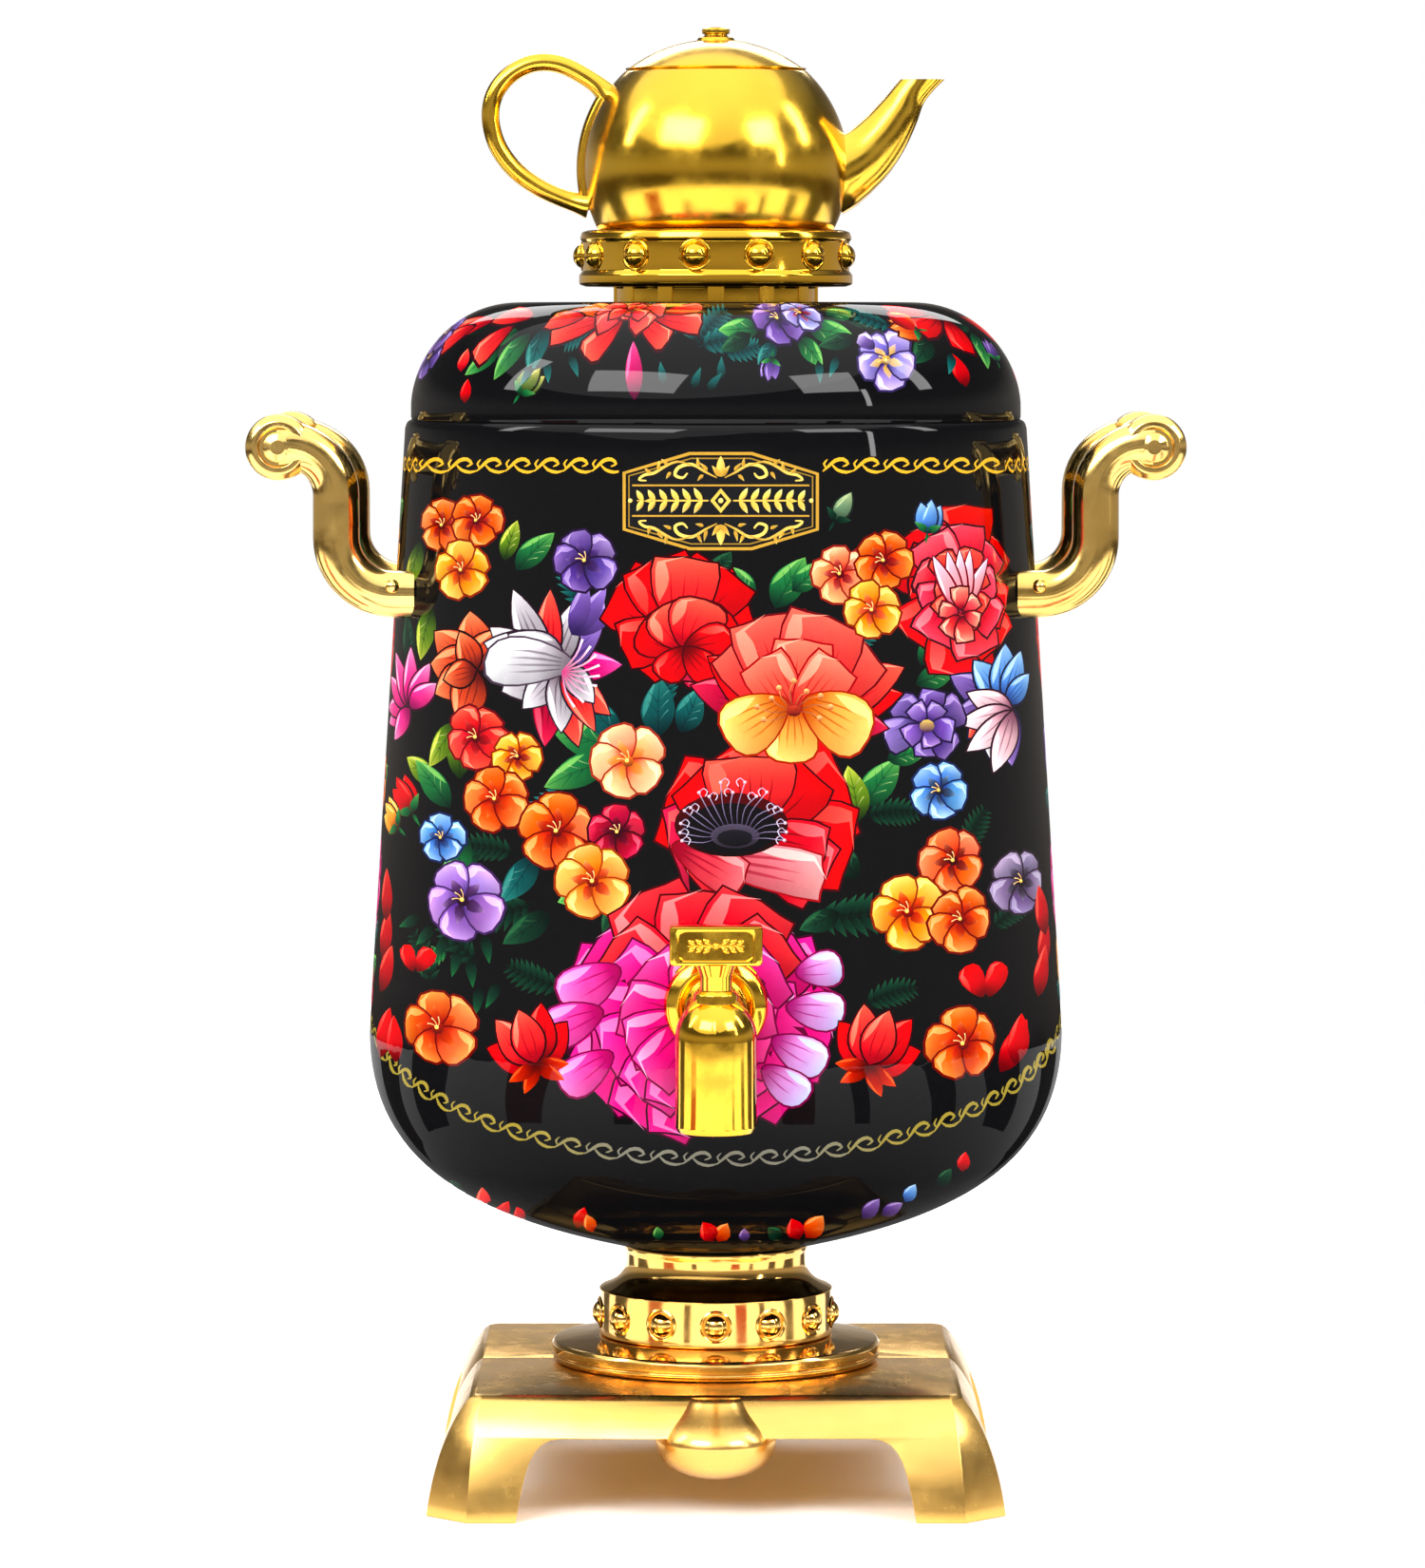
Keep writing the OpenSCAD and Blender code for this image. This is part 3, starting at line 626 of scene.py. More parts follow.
def tap():
    prof = rounded([(3.1, -1.2), (8.2, -1.2), (8.6, -0.9, 0.3), (8.6, 1.6, 0.8), (7.9, 3.3, 1.0), (6.2, 4.1, 1.0), (4.9, 3.4, 0.4), (4.4, 3.95, 0.3), (3.1, 4.0)])
    v, f = lathe_data(prof, 128, rot_y_axis())
    v = v + np.array([0, -55.0, TAP_Z])
    r = np.hypot(v[:, 0], 0)
    wall = np.sqrt(np.maximum(57.8 ** 2 - v[:, 0] ** 2, 0))
    v[:, 1] = np.where(v[:, 1] > -55.0 + 0.5, -wall + 0.35, v[:, 1])
    finish_mesh("tap_rosette_fine", S(v), f, GOLD, "tin", ["tap_rosette"], 50)
    # spout: a lathe with a fine mould line down its front and back
    prof = [(0, 69.3), (4.8, 69.3), (4.8, 66.6)] + rounded([(5.2, 66.3), (6.05, 66.3, 0.2), (6.5, 67.2, 0.4), (6.5, 74)], closed=False)
    prof += [(6.5, 78), (6.5, 81)]
    for i in range(1, 29):
        a = math.radians(90 * i / 28)
        prof.append((6.5 * math.cos(a), 81.3 + 6.75 * math.sin(a) ** 1.0))
    prof[-1] = (0, 88.05)
    v, f = lathe_data(prof, 240)
    ang = np.arctan2(v[:, 1], v[:, 0])
    d = np.minimum(np.abs(ang + math.pi / 2), np.abs(ang - math.pi / 2))
    k = 1 + 0.010 * np.exp(-(d / 0.03) ** 2)
    v[:, 0] *= k
    v[:, 1] = v[:, 1] * k + TAP_Y
    parts = [(v, f)]
    barrel = rounded([(0, -2), (4.9, -2), (4.9, 5.4, 0.5), (5.3, 6.0, 0.3), (5.3, 6.8, 0.3), (4.6, 7.4, 0.3), (3, 7.4), (3, 14), (0, 14)], closed=False)
    w, g = lathe_data(barrel, 96, [[1, 0, 0], [0, 0, 1], [0, 1, 0]])
    w = w + np.array([0, TAP_Y, 83.8])
    parts.append((w, g))
    collar = rounded([(0, 86.5), (3.6, 86.5), (3.6, 88.3, 0.3), (3.1, 88.9, 0.2), (0, 88.9)], closed=False)
    w, g = lathe_data(collar, 64)
    w[:, 1] += TAP_Y
    parts.append((w, g))
    v, f = join_data(parts)
    finish_mesh("tap_body_fine", S(v), f, GOLD, "tin", ["tap_body"], 50)
    # key: stem, and a tablet with a raised frame and scroll relief in its panels
    parts = []
    stem = rounded([(0, 80), (2.55, 80), (2.55, 91.2), (2.6, 91.6), (3.2, 93.1), (0, 93.1)], closed=False)
    w, g = lathe_data(stem, 64)
    w[:, 1] += TAP_Y
    parts.append((w, g))
    hw, z0, z1, y0 = 7.4, 93.0, 99.3, 2.6
    outer = rounded([(-hw, z0, 0.7), (hw, z0, 0.7), (hw, z1, 0.7), (-hw, z1, 0.7)])
    inner = rounded([(-hw + 1.5, z0 + 0.95, 1.5), (hw - 1.5, z0 + 0.95, 1.5), (hw - 1.5, z1 - 0.95, 1.5), (-hw + 1.5, z1 - 0.95, 1.5)])
    def shift(poly, d):
        c = np.array([0, (z0 + z1) / 2])
        q = np.array(poly)
        h = np.array([hw, (z1 - z0) / 2])
        return [tuple(c + (p - c) * (h - d) / h) for p in q]
    n = len(outer)
    rings = [([(x, z) for x, z in inner], 2.15), (shift(inner, -0.08), 2.15), (shift(inner, -0.22), 2.45), (shift(outer, 0.42), 2.62),
             (shift(outer, 0.14), 2.52), (outer, 2.2)]
    vs, fs = [], []
    seq = [(r, -y) for r, y in rings] + [(r, y) for r, y in rings[::-1]]
    for poly, y in seq:
        vs += [(x, y, z) for x, z in poly]
    for i in range(len(seq) - 1):
        for j in range(n):
            fs.append([i * n + j, i * n + (j + 1) % n, (i + 1) * n + (j + 1) % n, (i + 1) * n + j])
    fs += [list(range(n)), [(len(seq) - 1) * n + j for j in range(n)][::-1]]
    vs = np.array(vs)
    vs[:, 1] += TAP_Y
    parts.append((vs, fs))
    # raised leaf spray on both faces: a bead, a stem each way and mirrored pairs of leaves
    zc = (z0 + z1) / 2
    for sy in (-1, 1):
        y = TAP_Y + sy * 2.2
        parts.append(ball(np.array([0, y, zc]), 0.5))
        for sx in (-1, 1):
            stem = np.stack([np.linspace(0.3, 4.5, 12) * sx, np.full(12, y), np.full(12, zc)], 1)
            parts.append(tube(stem, list(np.linspace(0.24, 0.1, 12)), 10, 0.8))
            for k in range(3):
                for sz in (-1, 1):
                    t = np.linspace(0, 1, 9)
                    x = sx * (0.9 + 1.2 * k + 1.15 * t)
                    z = zc + sz * (0.12 + (1.0 - 0.12 * k) * t ** 0.85)
                    leafp = np.stack([x, np.full(9, y), z], 1)
                    parts.append(tube(leafp, list(0.06 + 0.32 * np.sin(np.pi * t) ** 0.8), 10, 0.8))
    v, f = join_data(parts)
    finish_mesh("tap_key_fine", S(v), f, GOLD, "tap_handle", ["tap_key"], 40)


tap()


# ------------------------------------------------------------------ pedestal and base
def pedestal():
    prof = [(2.2, 39.38), (15.5, 39.38), (15.62, 39.1), (15.55, 38.6)]
    prof += bez((15.38, 38.2), (15.15, 35.4), (15.6, 33.5), (19.1, 32.25), 18)
    prof += rounded([(19.3, 32.15), (19.72, 31.9, 0.2), (19.72, 30.9), (19.72, 25.4), (19.72, 24.3, 0.25), (19.3, 24.02), (17.9, 24.02)], closed=False)
    prof += [(17.9, 31), (17, 31.4), (13.9, 33.6), (13.6, 37.4), (2.2, 37.4)]
    parts = [lathe_data(prof, 192)]
    for i in range(13):
        a = math.radians(-90 + i * 360 / 13)
        d = np.array([math.cos(a), math.sin(a), 0])
        c = d * 18.75 + np.array([0, 0, 27.9])
        parts.append(ball(c, 2.3))
        ring = [(2.75, 0.8), (2.75, 1.08), (2.5, 1.2), (2.3, 1.1), (2.1, 0.8)]
        m = np.stack([np.cross([0, 0, 1.0], d), np.array([0, 0, 1.0]), d], axis=1)
        w, g = lathe_data(ring, 32, m)
        parts.append((w + c, g))
    v, f = join_data(parts)
    finish_mesh("pedestal_fine", S(v), f, PALE, "tin", ["pedestal"], 50)
    z = 19.72
    prof = rounded([(2.2, z), (26.3, z), (27.2, z + 0.2, 0.2), (27.7, z + 0.9, 0.4), (27.68, z + 1.3, 0.15), (27.3, z + 1.42, 0.1),
                    (27.62, z + 1.6, 0.1), (27.7, z + 2.9, 0.3), (27.3, z + 3.5, 0.4), (21.0, 23.95, 0.4), (20.6, 24.0), (2.2, 24.0)])
    v, f = lathe_data(prof, 192)
    finish_mesh("pedestal_disc_fine", S(v), f, PALE, "tin", ["pedestal_disc"], 40)
    refine("base_front", BASE, 0.45, 3)
    refine("base_rear", BASE, 0.45, 3)


pedestal()

for name in ("crown_screw", "crown_washer", "handle_screws", "tap_nut", "base_screws", "clamp_bolt",
             "clamp_washer_top", "clamp_washer_under", "clamp_nut"):
    frame["nodes"][name].data.materials.clear()
    frame["nodes"][name].data.materials.append(STEEL)
frame["nodes"]["body_collar"].data.materials.clear()
frame["nodes"]["body_collar"].data.materials.append(TINPLATE)


# ------------------------------------------------------------------ studio
def studio():
    me = bpy.data.meshes.new("floor")
    rim = [(0.8 * math.cos(2 * math.pi * i / 96), 0.8 * math.sin(2 * math.pi * i / 96), -0.0001) for i in range(96)]
    me.from_pydata(rim, [], [tuple(range(96))])
    fl = bpy.data.objects.new("floor", me)
    scene.collection.objects.link(fl)
    m, nt, b = mat("floor_pale")
    n = noise(nt, 3, 3, 0.5)
    r = ramp(nt, n.outputs["Fac"], [(0.3, (0.95, 0.95, 0.95)), (0.7, (0.965, 0.965, 0.96))])
    nt.links.new(r.outputs["Color"], b.inputs["Base Color"])
    b.inputs["Roughness"].default_value = 0.7
    b.inputs["Specular IOR Level"].default_value = 0.15
    me.materials.append(m)

    w = bpy.data.worlds.new("studio")
    scene.world = w
    w.use_nodes = True
    nt = w.node_tree
    nt.nodes.clear()
    out = nt.nodes.new("ShaderNodeOutputWorld")
    tc = nt.nodes.new("ShaderNodeTexCoord")
    sep = nt.nodes.new("ShaderNodeSeparateXYZ")
    nt.links.new(tc.outputs["Generated"], sep.inputs[0])
    hz = remap(nt, sep.outputs["Z"], -1, 1, 0, 1)
    rp = ramp(nt, hz.outputs["Result"], [(0.0, (0.04, 0.03, 0.022)), (0.45, (0.12, 0.095, 0.07)), (0.485, (0.56, 0.51, 0.46)), (0.53, (0.60, 0.56, 0.51)),
                                         (0.60, (0.16, 0.15, 0.14)), (0.72, (0.10, 0.10, 0.10)), (0.85, (0.5, 0.49, 0.47)), (1.0, (0.8, 0.8, 0.8))])
    dim = nt.nodes.new("ShaderNodeBackground")
    nt.links.new(rp.outputs["Color"], dim.inputs["Color"])
    dim.inputs["Strength"].default_value = 0.8
    seen = nt.nodes.new("ShaderNodeBackground")
    seen.inputs["Color"].default_value = (1.0, 1.0, 1.0, 1)
    lp = nt.nodes.new("ShaderNodeLightPath")
    mix = nt.nodes.new("ShaderNodeMixShader")
    nt.links.new(lp.outputs["Is Camera Ray"], mix.inputs[0])
    nt.links.new(dim.outputs[0], mix.inputs[1])
    nt.links.new(seen.outputs[0], mix.inputs[2])
    nt.links.new(mix.outputs[0], out.inputs["Surface"])

    def area(name, pos, aim, size, energy, colour=(1, 1, 1), shape="RECTANGLE"):
        li = bpy.data.lights.new(name, "AREA")
        li.shape = shape
        li.size = size[0]
        li.size_y = size[1]
        li.energy = energy
        li.color = colour
        ob = bpy.data.objects.new(name, li)
        scene.collection.objects.link(ob)
        ob.location = pos
        ob.rotation_euler = (Vector(aim) - Vector(pos)).to_track_quat("-Z", "Y").to_euler()

    area("key_left", (-0.75, -1.15, 1.05), (0, 0, 0.13), (0.95, 0.6), 22)
    area("fill_right", (0.95, -0.95, 0.95), (0, 0, 0.13), (0.6, 0.5), 12)
    area("strip_right", (1.0, -0.62, 0.46), (0, 0, 0.17), (0.045, 0.36), 1.0)
    area("card_left", (-1.15, -0.1, 0.85), (0, 0, 0.12), (0.16, 0.6), 4)
    area("card_right", (1.15, -0.05, 0.85), (0, 0, 0.12), (0.16, 0.6), 4)
    area("back", (0.0, 1.2, 0.9), (0, 0, 0.12), (0.9, 0.5), 8)
    # dark felt strips that only the gloss of the gold sees
    for k, (az, half, r0, r1, c) in enumerate([(24, 6, 0.14, 0.42, (0.22, 0.025, 0.012)), (-60, 8, 0.14, 0.7, (0.20, 0.03, 0.012)), (74, 6, 0.14, 0.7, (0.02, 0.015, 0.01)),
                                               (104, 11, 0.14, 0.95, (0.015, 0.012, 0.01)), (-104, 11, 0.14, 0.95, (0.015, 0.012, 0.01)), (-134, 10, 0.14, 0.6, (0.02, 0.015, 0.01)),
                                               (142, 10, 0.14, 0.6, (0.02, 0.015, 0.01)), (-27, 3.5, 0.14, 0.42, (0.03, 0.02, 0.012)), (44, 3, 0.14, 0.6, (0.02, 0.015, 0.01))]):
        vs = []
        for r in (r0, r1):
            for t in (-1, -0.33, 0.33, 1):
                a = math.radians(az + half * t * (0.8 if r == r0 else 1.0))
                vs.append((r * math.sin(a), -r * math.cos(a), 0.002))
        me = bpy.data.meshes.new("flag%d" % k)
        me.from_pydata(vs, [], [(i, i + 1, i + 5, i + 4) for i in range(3)])
        fo = bpy.data.objects.new("flag%d" % k, me)
        scene.collection.objects.link(fo)
        fm, fnt, fb = mat("felt%d" % k)
        fn = noise(fnt, 30, 3, 0.5)
        fr = ramp(fnt, fn.outputs["Fac"], [(0.3, c), (0.7, tuple(min(1, v * 1.6) for v in c))])
        fnt.links.new(fr.outputs["Color"], fb.inputs["Base Color"])
        fb.inputs["Roughness"].default_value = 0.9
        me.materials.append(fm)
        fo.visible_camera = False
        fo.visible_diffuse = False
        fo.visible_shadow = False
    sun = bpy.data.lights.new("overcast", "SUN")
    sun.energy = 2.7
    sun.angle = math.radians(112)
    so = bpy.data.objects.new("overcast", sun)
    scene.collection.objects.link(so)
    so.rotation_euler = Vector((0.15, 0.3, -1)).to_track_quat("-Z", "Y").to_euler()


studio()


# ------------------------------------------------------------------ painted tin
INK = []            # strokes in painting order, each an outline and its colours
LIGHT = np.array([-0.5, -0.85])


def unit(kind, n):
    """One side of a petal from root to tip: x along 0..1, y half width 0..1."""
    if kind == "round":
        f = np.linspace(0, math.pi, n + 1)
        x = 0.5 - 0.5 * np.cos(f)
        y = np.sin(f) ** 0.8 * (0.38 + 0.62 * x ** 0.8) * 1.18
    elif kind == "heart":
        f = np.linspace(0, math.pi, n + 1)
        x = 0.5 - 0.5 * np.cos(f)
        y = np.sin(f) ** 0.75 * (0.3 + 0.7 * x ** 0.9) * 1.22
        x = x - 0.13 * np.exp(-((f - math.pi) / 0.5) ** 2)
    elif kind == "frill":
        f = np.linspace(0, math.pi, n + 1)
        x = 0.5 - 0.5 * np.cos(f)
        y = np.sin(f) ** 0.7 * (0.34 + 0.66 * x ** 0.8) * 1.2
        wob = 1 + 0.07 * np.sin(f * 5.5 + 1.0) * (f / math.pi)
        x, y = x * wob, y * wob
    elif kind == "spoon":
        x = np.linspace(0, 1, n + 1)
        y = np.sin(math.pi * x ** 1.5) ** 0.8
    elif kind == "drop":
        x = np.linspace(0, 1, n + 1)
        y = np.sin(math.pi * x ** 0.62) ** 0.9
    else:
        x = np.linspace(0, 1, n + 1)
        y = np.sin(math.pi * x ** 0.85) ** 0.85
    y[0] = y[-1] = 0
    return x, y


def local(x, y, a, L, W, bend, pts):
    p = np.asarray(pts, float)
    r = math.radians(a)
    d = np.array([math.cos(r), -math.sin(r)])
    q = np.array([math.sin(r), math.cos(r)])
    lx = p[:, 0] * L
    ly = p[:, 1] * W + bend * L * p[:, 0] ** 2
    return np.array([x, y]) + lx[:, None] * d + ly[:, None] * q


GROUP = []          # where the flower being drawn is anchored


def put(poly, x, y, a, L, W, c0, c1, c2, side=0.2, anchor=None, fine=False):
    an = GROUP[0] if GROUP else anchor
    INK.append((np.asarray(poly, float), (x, y, math.radians(a), max(L, 0.5), max(W, 0.5), c0, c1, c2, side), an, fine))


def grouped(fn):
    def run(x, y, *args, **kw):
        own = not GROUP
        if own:
            GROUP.append((x, y))
        fn(x, y, *args, **kw)
        if own:
            GROUP.clear()
    return run


def flatfill(poly, c):
    p = np.asarray(poly, float)
    put(p, p[0, 0], p[0, 1], 0, 1, 1, c, c, c, 0)


def petal(x, y, a, L, W, c0, c1, c2, kind="round", bend=0.0, hi=None, shade=None, veins=0, n=None):
    n = n or int(min(9, max(4, L / 5.2)))
    ux, uy = unit(kind, n)
    body = np.concatenate([np.stack([ux, uy], 1), np.stack([ux, -uy], 1)[-2:0:-1]])
    if shade is not None:
        big = body * [1.0, 1.0]
        big = (big - [0.5, 0]) * [1 + 5.0 / L, 1 + 2.4 / W] + [0.5, 0]
        put(local(x, y, a, L, W, bend, big), x, y, a, L, W, shade, shade, shade, 0, (x, y))
    put(local(x, y, a, L, W, bend, body), x, y, a, L, W, c0, c1, c2, 0.2, (x, y))
    r = math.radians(a)
    s = 1 if np.dot([math.sin(r), math.cos(r)], LIGHT) > 0 else -1
    if hi is not None and L > 9:
        m = int(max(4, n - 2))
        u = np.linspace(0.34, 0.985, m)
        w = np.interp(u, ux, uy) if kind not in ("round", "heart", "frill") else np.interp(u, np.maximum.accumulate(ux), uy)
        k = np.sin(np.linspace(0, math.pi, m)) ** 0.8
        outer = np.stack([u, s * w * 0.9], 1)
        inner = np.stack([u, s * w * (0.9 - 0.42 * k)], 1)[-2:0:-1]
        put(local(x, y, a, L, W, bend, np.concatenate([outer, inner])), x, y, a, L, W,
            mix3(c1, hi, 0.06), mix3(c2, hi, 0.25), mix3(c2, hi, 0.85), 0, (x, y))
    for i in range(veins):
        v = (i - (veins - 1) / 2) / max(1, veins) * 1.25
        u = np.linspace(0.14, 0.78 - 0.1 * abs(v), 4)
        w = np.interp(u, np.maximum.accumulate(ux), uy)
        c = np.stack([u, v * w], 1)
        t = np.stack([np.zeros(4), 0.030 * np.sin(np.linspace(0.3, math.pi, 4)) + 0.004], 1) * [1, L / W * 0.42]
        put(local(x, y, a, L, W, bend, np.concatenate([c + t, (c - t)[::-1]])), x, y, a, L, W,
            mix3(c0, (10, 5, 8), 0.35), mix3(c0, c1, 0.4), mix3(c1, c2, 0.7), 0, (x, y), True)


def mix3(a, b, t):
    return tuple(p + (q - p) * t for p, q in zip(a, b))


def ribbon(pts, w0, w1, c0, c1=None, k=5, wm=None):
    """Brush line through points: width w0 at the start, wm in the middle, w1 at the end."""
    p = spline([(a, b, 0) for a, b in pts], k)[:, :2]
    d = np.gradient(p, axis=0)
    d /= np.linalg.norm(d, axis=1)[:, None] + 1e-9
    q = np.stack([-d[:, 1], d[:, 0]], 1)
    t = np.linspace(0, 1, len(p))
    wm = (w0 + w1) / 2 if wm is None else wm
    w = np.where(t < 0.5, w0 + (wm - w0) * np.sin(t * math.pi), w1 + (wm - w1) * np.sin(t * math.pi)) / 2
    poly = np.concatenate([p + q * w[:, None], (p - q * w[:, None])[::-1]])
    e = p[-1] - p[0]
    L = np.linalg.norm(e) + 1e-6
    c1 = c1 or c0
    put(poly, p[0, 0], p[0, 1], math.degrees(math.atan2(-e[1], e[0])), L, 20, c0, mix3(c0, c1, 0.5), c1, 0)


def disc(x, y, rx, ry, c0, c1=None, n=12, rot=0):
    t = np.linspace(0, 2 * math.pi, n + 1)[:-1]
    r = math.radians(rot)
    px, py = rx * np.cos(t), ry * np.sin(t)
    poly = np.stack([x + px * math.cos(r) + py * math.sin(r), y - px * math.sin(r) + py * math.cos(r)], 1)
    put(poly, x, y + ry, 90, 2 * ry, rx, c0, mix3(c0, c1 or c0, 0.5), c1 or c0, 0.1)


def jit(c, s=10):
    d = rng.normal(0, s, 1)[0]
    return tuple(float(min(255, max(0, v + d + rng.normal(0, s * 0.5)))) for v in c)


RED = ((84, 2, 8), (196, 12, 20), (226, 34, 34), (250, 124, 108))
CORAL = ((138, 8, 22), (220, 44, 46), (240, 88, 70), (252, 168, 140))
ORANGE = ((146, 14, 8), (208, 74, 28), (232, 138, 66), (246, 194, 124))
YELLOW = ((180, 44, 8), (222, 138, 38), (240, 190, 84), (250, 226, 146))
CRIMSON = ((64, 2, 20), (150, 10, 42), (200, 40, 70), (238, 120, 132))
MAGENTA = ((100, 2, 50), (204, 16, 104), (232, 76, 156), (212, 184, 228))
LILAC = ((34, 20, 66), (84, 58, 128), (134, 104, 176), (200, 180, 228))
BLUE = ((22, 46, 110), (78, 130, 200), (146, 190, 232), (214, 234, 250))
WHITE = ((74, 56, 66), (150, 142, 150), (212, 208, 212), (250, 250, 250))
GREEN = ((4, 36, 24), (22, 96, 48), (92, 164, 74), (176, 214, 130))
TEAL = ((2, 28, 32), (8, 68, 68), (36, 112, 104), (96, 164, 152))
DARKG = ((3, 16, 12), (8, 40, 28), (24, 72, 44), (56, 112, 66))
OLIVE = ((16, 36, 10), (84, 118, 24), (184, 192, 66), (228, 226, 136))
FG = (212, 160, 44)
BK = (11, 11, 13)


@grouped
def small5(x, y, r, pal, rot=None, k=5, core=(120, 10, 20), sq=1.0):
    rot = rng.uniform(0, 72) if rot is None else rot
    order = list(range(k))
    for i in order:
        a = rot + i * 360 / k + rng.uniform(-6, 6)
        rr = r * rng.uniform(0.94, 1.06) * (sq + (1 - sq) * abs(math.cos(math.radians(a))))
        b0 = math.radians(a)
        petal(x + 0.06 * r * math.cos(b0), y - 0.06 * r * math.sin(b0), a, rr * 0.95, rr * 0.54,
              jit(pal[0], 6), jit(pal[1], 10), jit(pal[2], 8), "round", hi=pal[3], shade=mix3(pal[0], (20, 4, 8), 0.35))
        petal(x + 0.08 * r * math.cos(b0), y - 0.08 * r * math.sin(b0), a, rr * 0.56, rr * 0.16,
              mix3(core, (30, 4, 8), 0.3), mix3(core, pal[1], 0.25), mix3(core, pal[2], 0.75), "drop", n=4)
    disc(x, y, r * 0.17, r * 0.16, mix3(core, (20, 4, 10), 0.6), core, 9)
    for i in range(3):
        a = math.radians(rot + 40 + i * 38)
        ribbon([(x, y), (x + 0.16 * r * math.cos(a), y - 0.16 * r * math.sin(a)), (x + 0.30 * r * math.cos(a + 0.25), y - 0.30 * r * math.sin(a + 0.25))],
               0.5, 1.2, (226, 150, 70), (246, 214, 150), k=2)
    disc(x - r * 0.02, y - r * 0.02, r * 0.06, r * 0.06, (240, 180, 60), (255, 230, 150), 7)


@grouped
def leaf(x, y, a, L, W, pal=GREEN, bend=0.0, veins=3):
    petal(x, y, a, L, W, pal[0], pal[1], pal[2], "leaf", bend, hi=mix3(pal[2], pal[3], 0.6))
    def at(u, v):
        return tuple(local(x, y, a, L, W, bend, [(u, v)])[0])
    ribbon([at(0, 0), at(0.5, 0.02), at(0.94, 0)], 1.6, 0.5, mix3(pal[0], BK, 0.3), pal[1], 4)
    for i in range(veins):
        u = 0.25 + 0.5 * i / max(1, veins)
        for s in (-1, 1):
            ribbon([at(u, 0.04 * s), at(u + 0.12, 0.36 * s), at(u + 0.19, 0.62 * s)], 1.1, 0.4, mix3(pal[0], pal[1], 0.3), pal[3] if s > 0 else pal[1], 2)


@grouped
def fern(x, y, a, L, pal=TEAL, n=9, curl=0.3, size=0.28):
    pts = [local(x, y, a, L, 1, curl, [(t, 0)])[0] for t in np.linspace(0, 1, 5)]
    ribbon([tuple(p) for p in pts], 1.8, 0.6, pal[0], pal[1], 3)
    for i in range(n):
        t = 0.12 + 0.86 * i / n
        p = local(x, y, a, L, 1, curl, [(t, 0)])[0]
        s = L * size * (0.45 + 0.75 * math.sin(math.pi * min(1, t * 0.9 + 0.12)))
        da = math.degrees(math.atan(2 * curl * t))
        for sg in (-1, 1):
            petal(p[0], p[1], a - da + sg * 42, s, s * 0.17, pal[0], pal[1], pal[2], "drop", bend=-0.15 * sg, n=4)


@grouped
def bud(x, y, a, L, pal=RED, green=GREEN, n=3):
    for i in range(n):
        t = (i - (n - 1) / 2)
        petal(x, y, a + t * 24, L * (1 - 0.08 * abs(t)), L * 0.26, pal[0], pal[1], pal[2], "leaf", bend=0.06 * t, hi=pal[3] if i == 0 else None,
              shade=mix3(pal[0], BK, 0.6))
    petal(x, y, a, L * 0.92, L * 0.22, pal[0], pal[1], pal[2], "leaf", hi=pal[3])
    for s in (-1, 1):
        petal(x, y, a + s * 48, L * 0.5, L * 0.12, green[0], green[1], green[2], "drop", bend=-0.2 * s, n=4)
    petal(x, y, a + 180, L * 0.4, L * 0.05, green[0], green[1], green[1], "drop", n=4)


@grouped
def tulip(x, y, s, rot=0):
    """Open red bell seen from the side, with dark hollows and green sepals."""
    for da, L, c in ((-62, 0.95, RED), (62, 0.95, RED), (-30, 1.12, RED), (32, 1.1, CORAL), (0, 1.05, CORAL)):
        petal(x, y, 90 + rot + da, s * L, s * 0.3, c[0], c[1], c[2], "leaf", bend=0.12 * (1 if da > 0 else -1 if da < 0 else 0),
              hi=c[3] if abs(da) < 50 else None, shade=(40, 3, 8), veins=2)
    for da in (-118, -148, 150, 116):
        petal(x, y, 90 + rot + da, s * 0.62, s * 0.14, (60, 6, 8), (150, 22, 14), (206, 60, 30), "leaf", bend=0.15 * (1 if da > 0 else -1), hi=(236, 120, 60))


@grouped
def rosette_flower(x, y, rx, ry, rings, turn=0.0, frill="frill"):
    """Layered bloom: rings run from the outside in, each (count, reach, width, palette, jitter)."""
    for (n, reach, wid, pal, jt) in rings:
        for i in range(n):
            a = turn + i * 360 / n + rng.uniform(-jt, jt)
            ra = math.radians(a)
            R = reach * math.hypot(rx * math.cos(ra), ry * math.sin(ra)) * rng.uniform(0.93, 1.05)
            b = 0.16 * R
            petal(x + b * math.cos(ra), y - b * math.sin(ra), a, R - b, R * wid, jit(pal[0], 7), jit(pal[1], 9), jit(pal[2], 8), frill,
                  bend=rng.uniform(-0.08, 0.08), hi=pal[3], shade=mix3(pal[0], BK, 0.5), veins=2 if R > 38 else 0)
        turn += 180 / n + 11


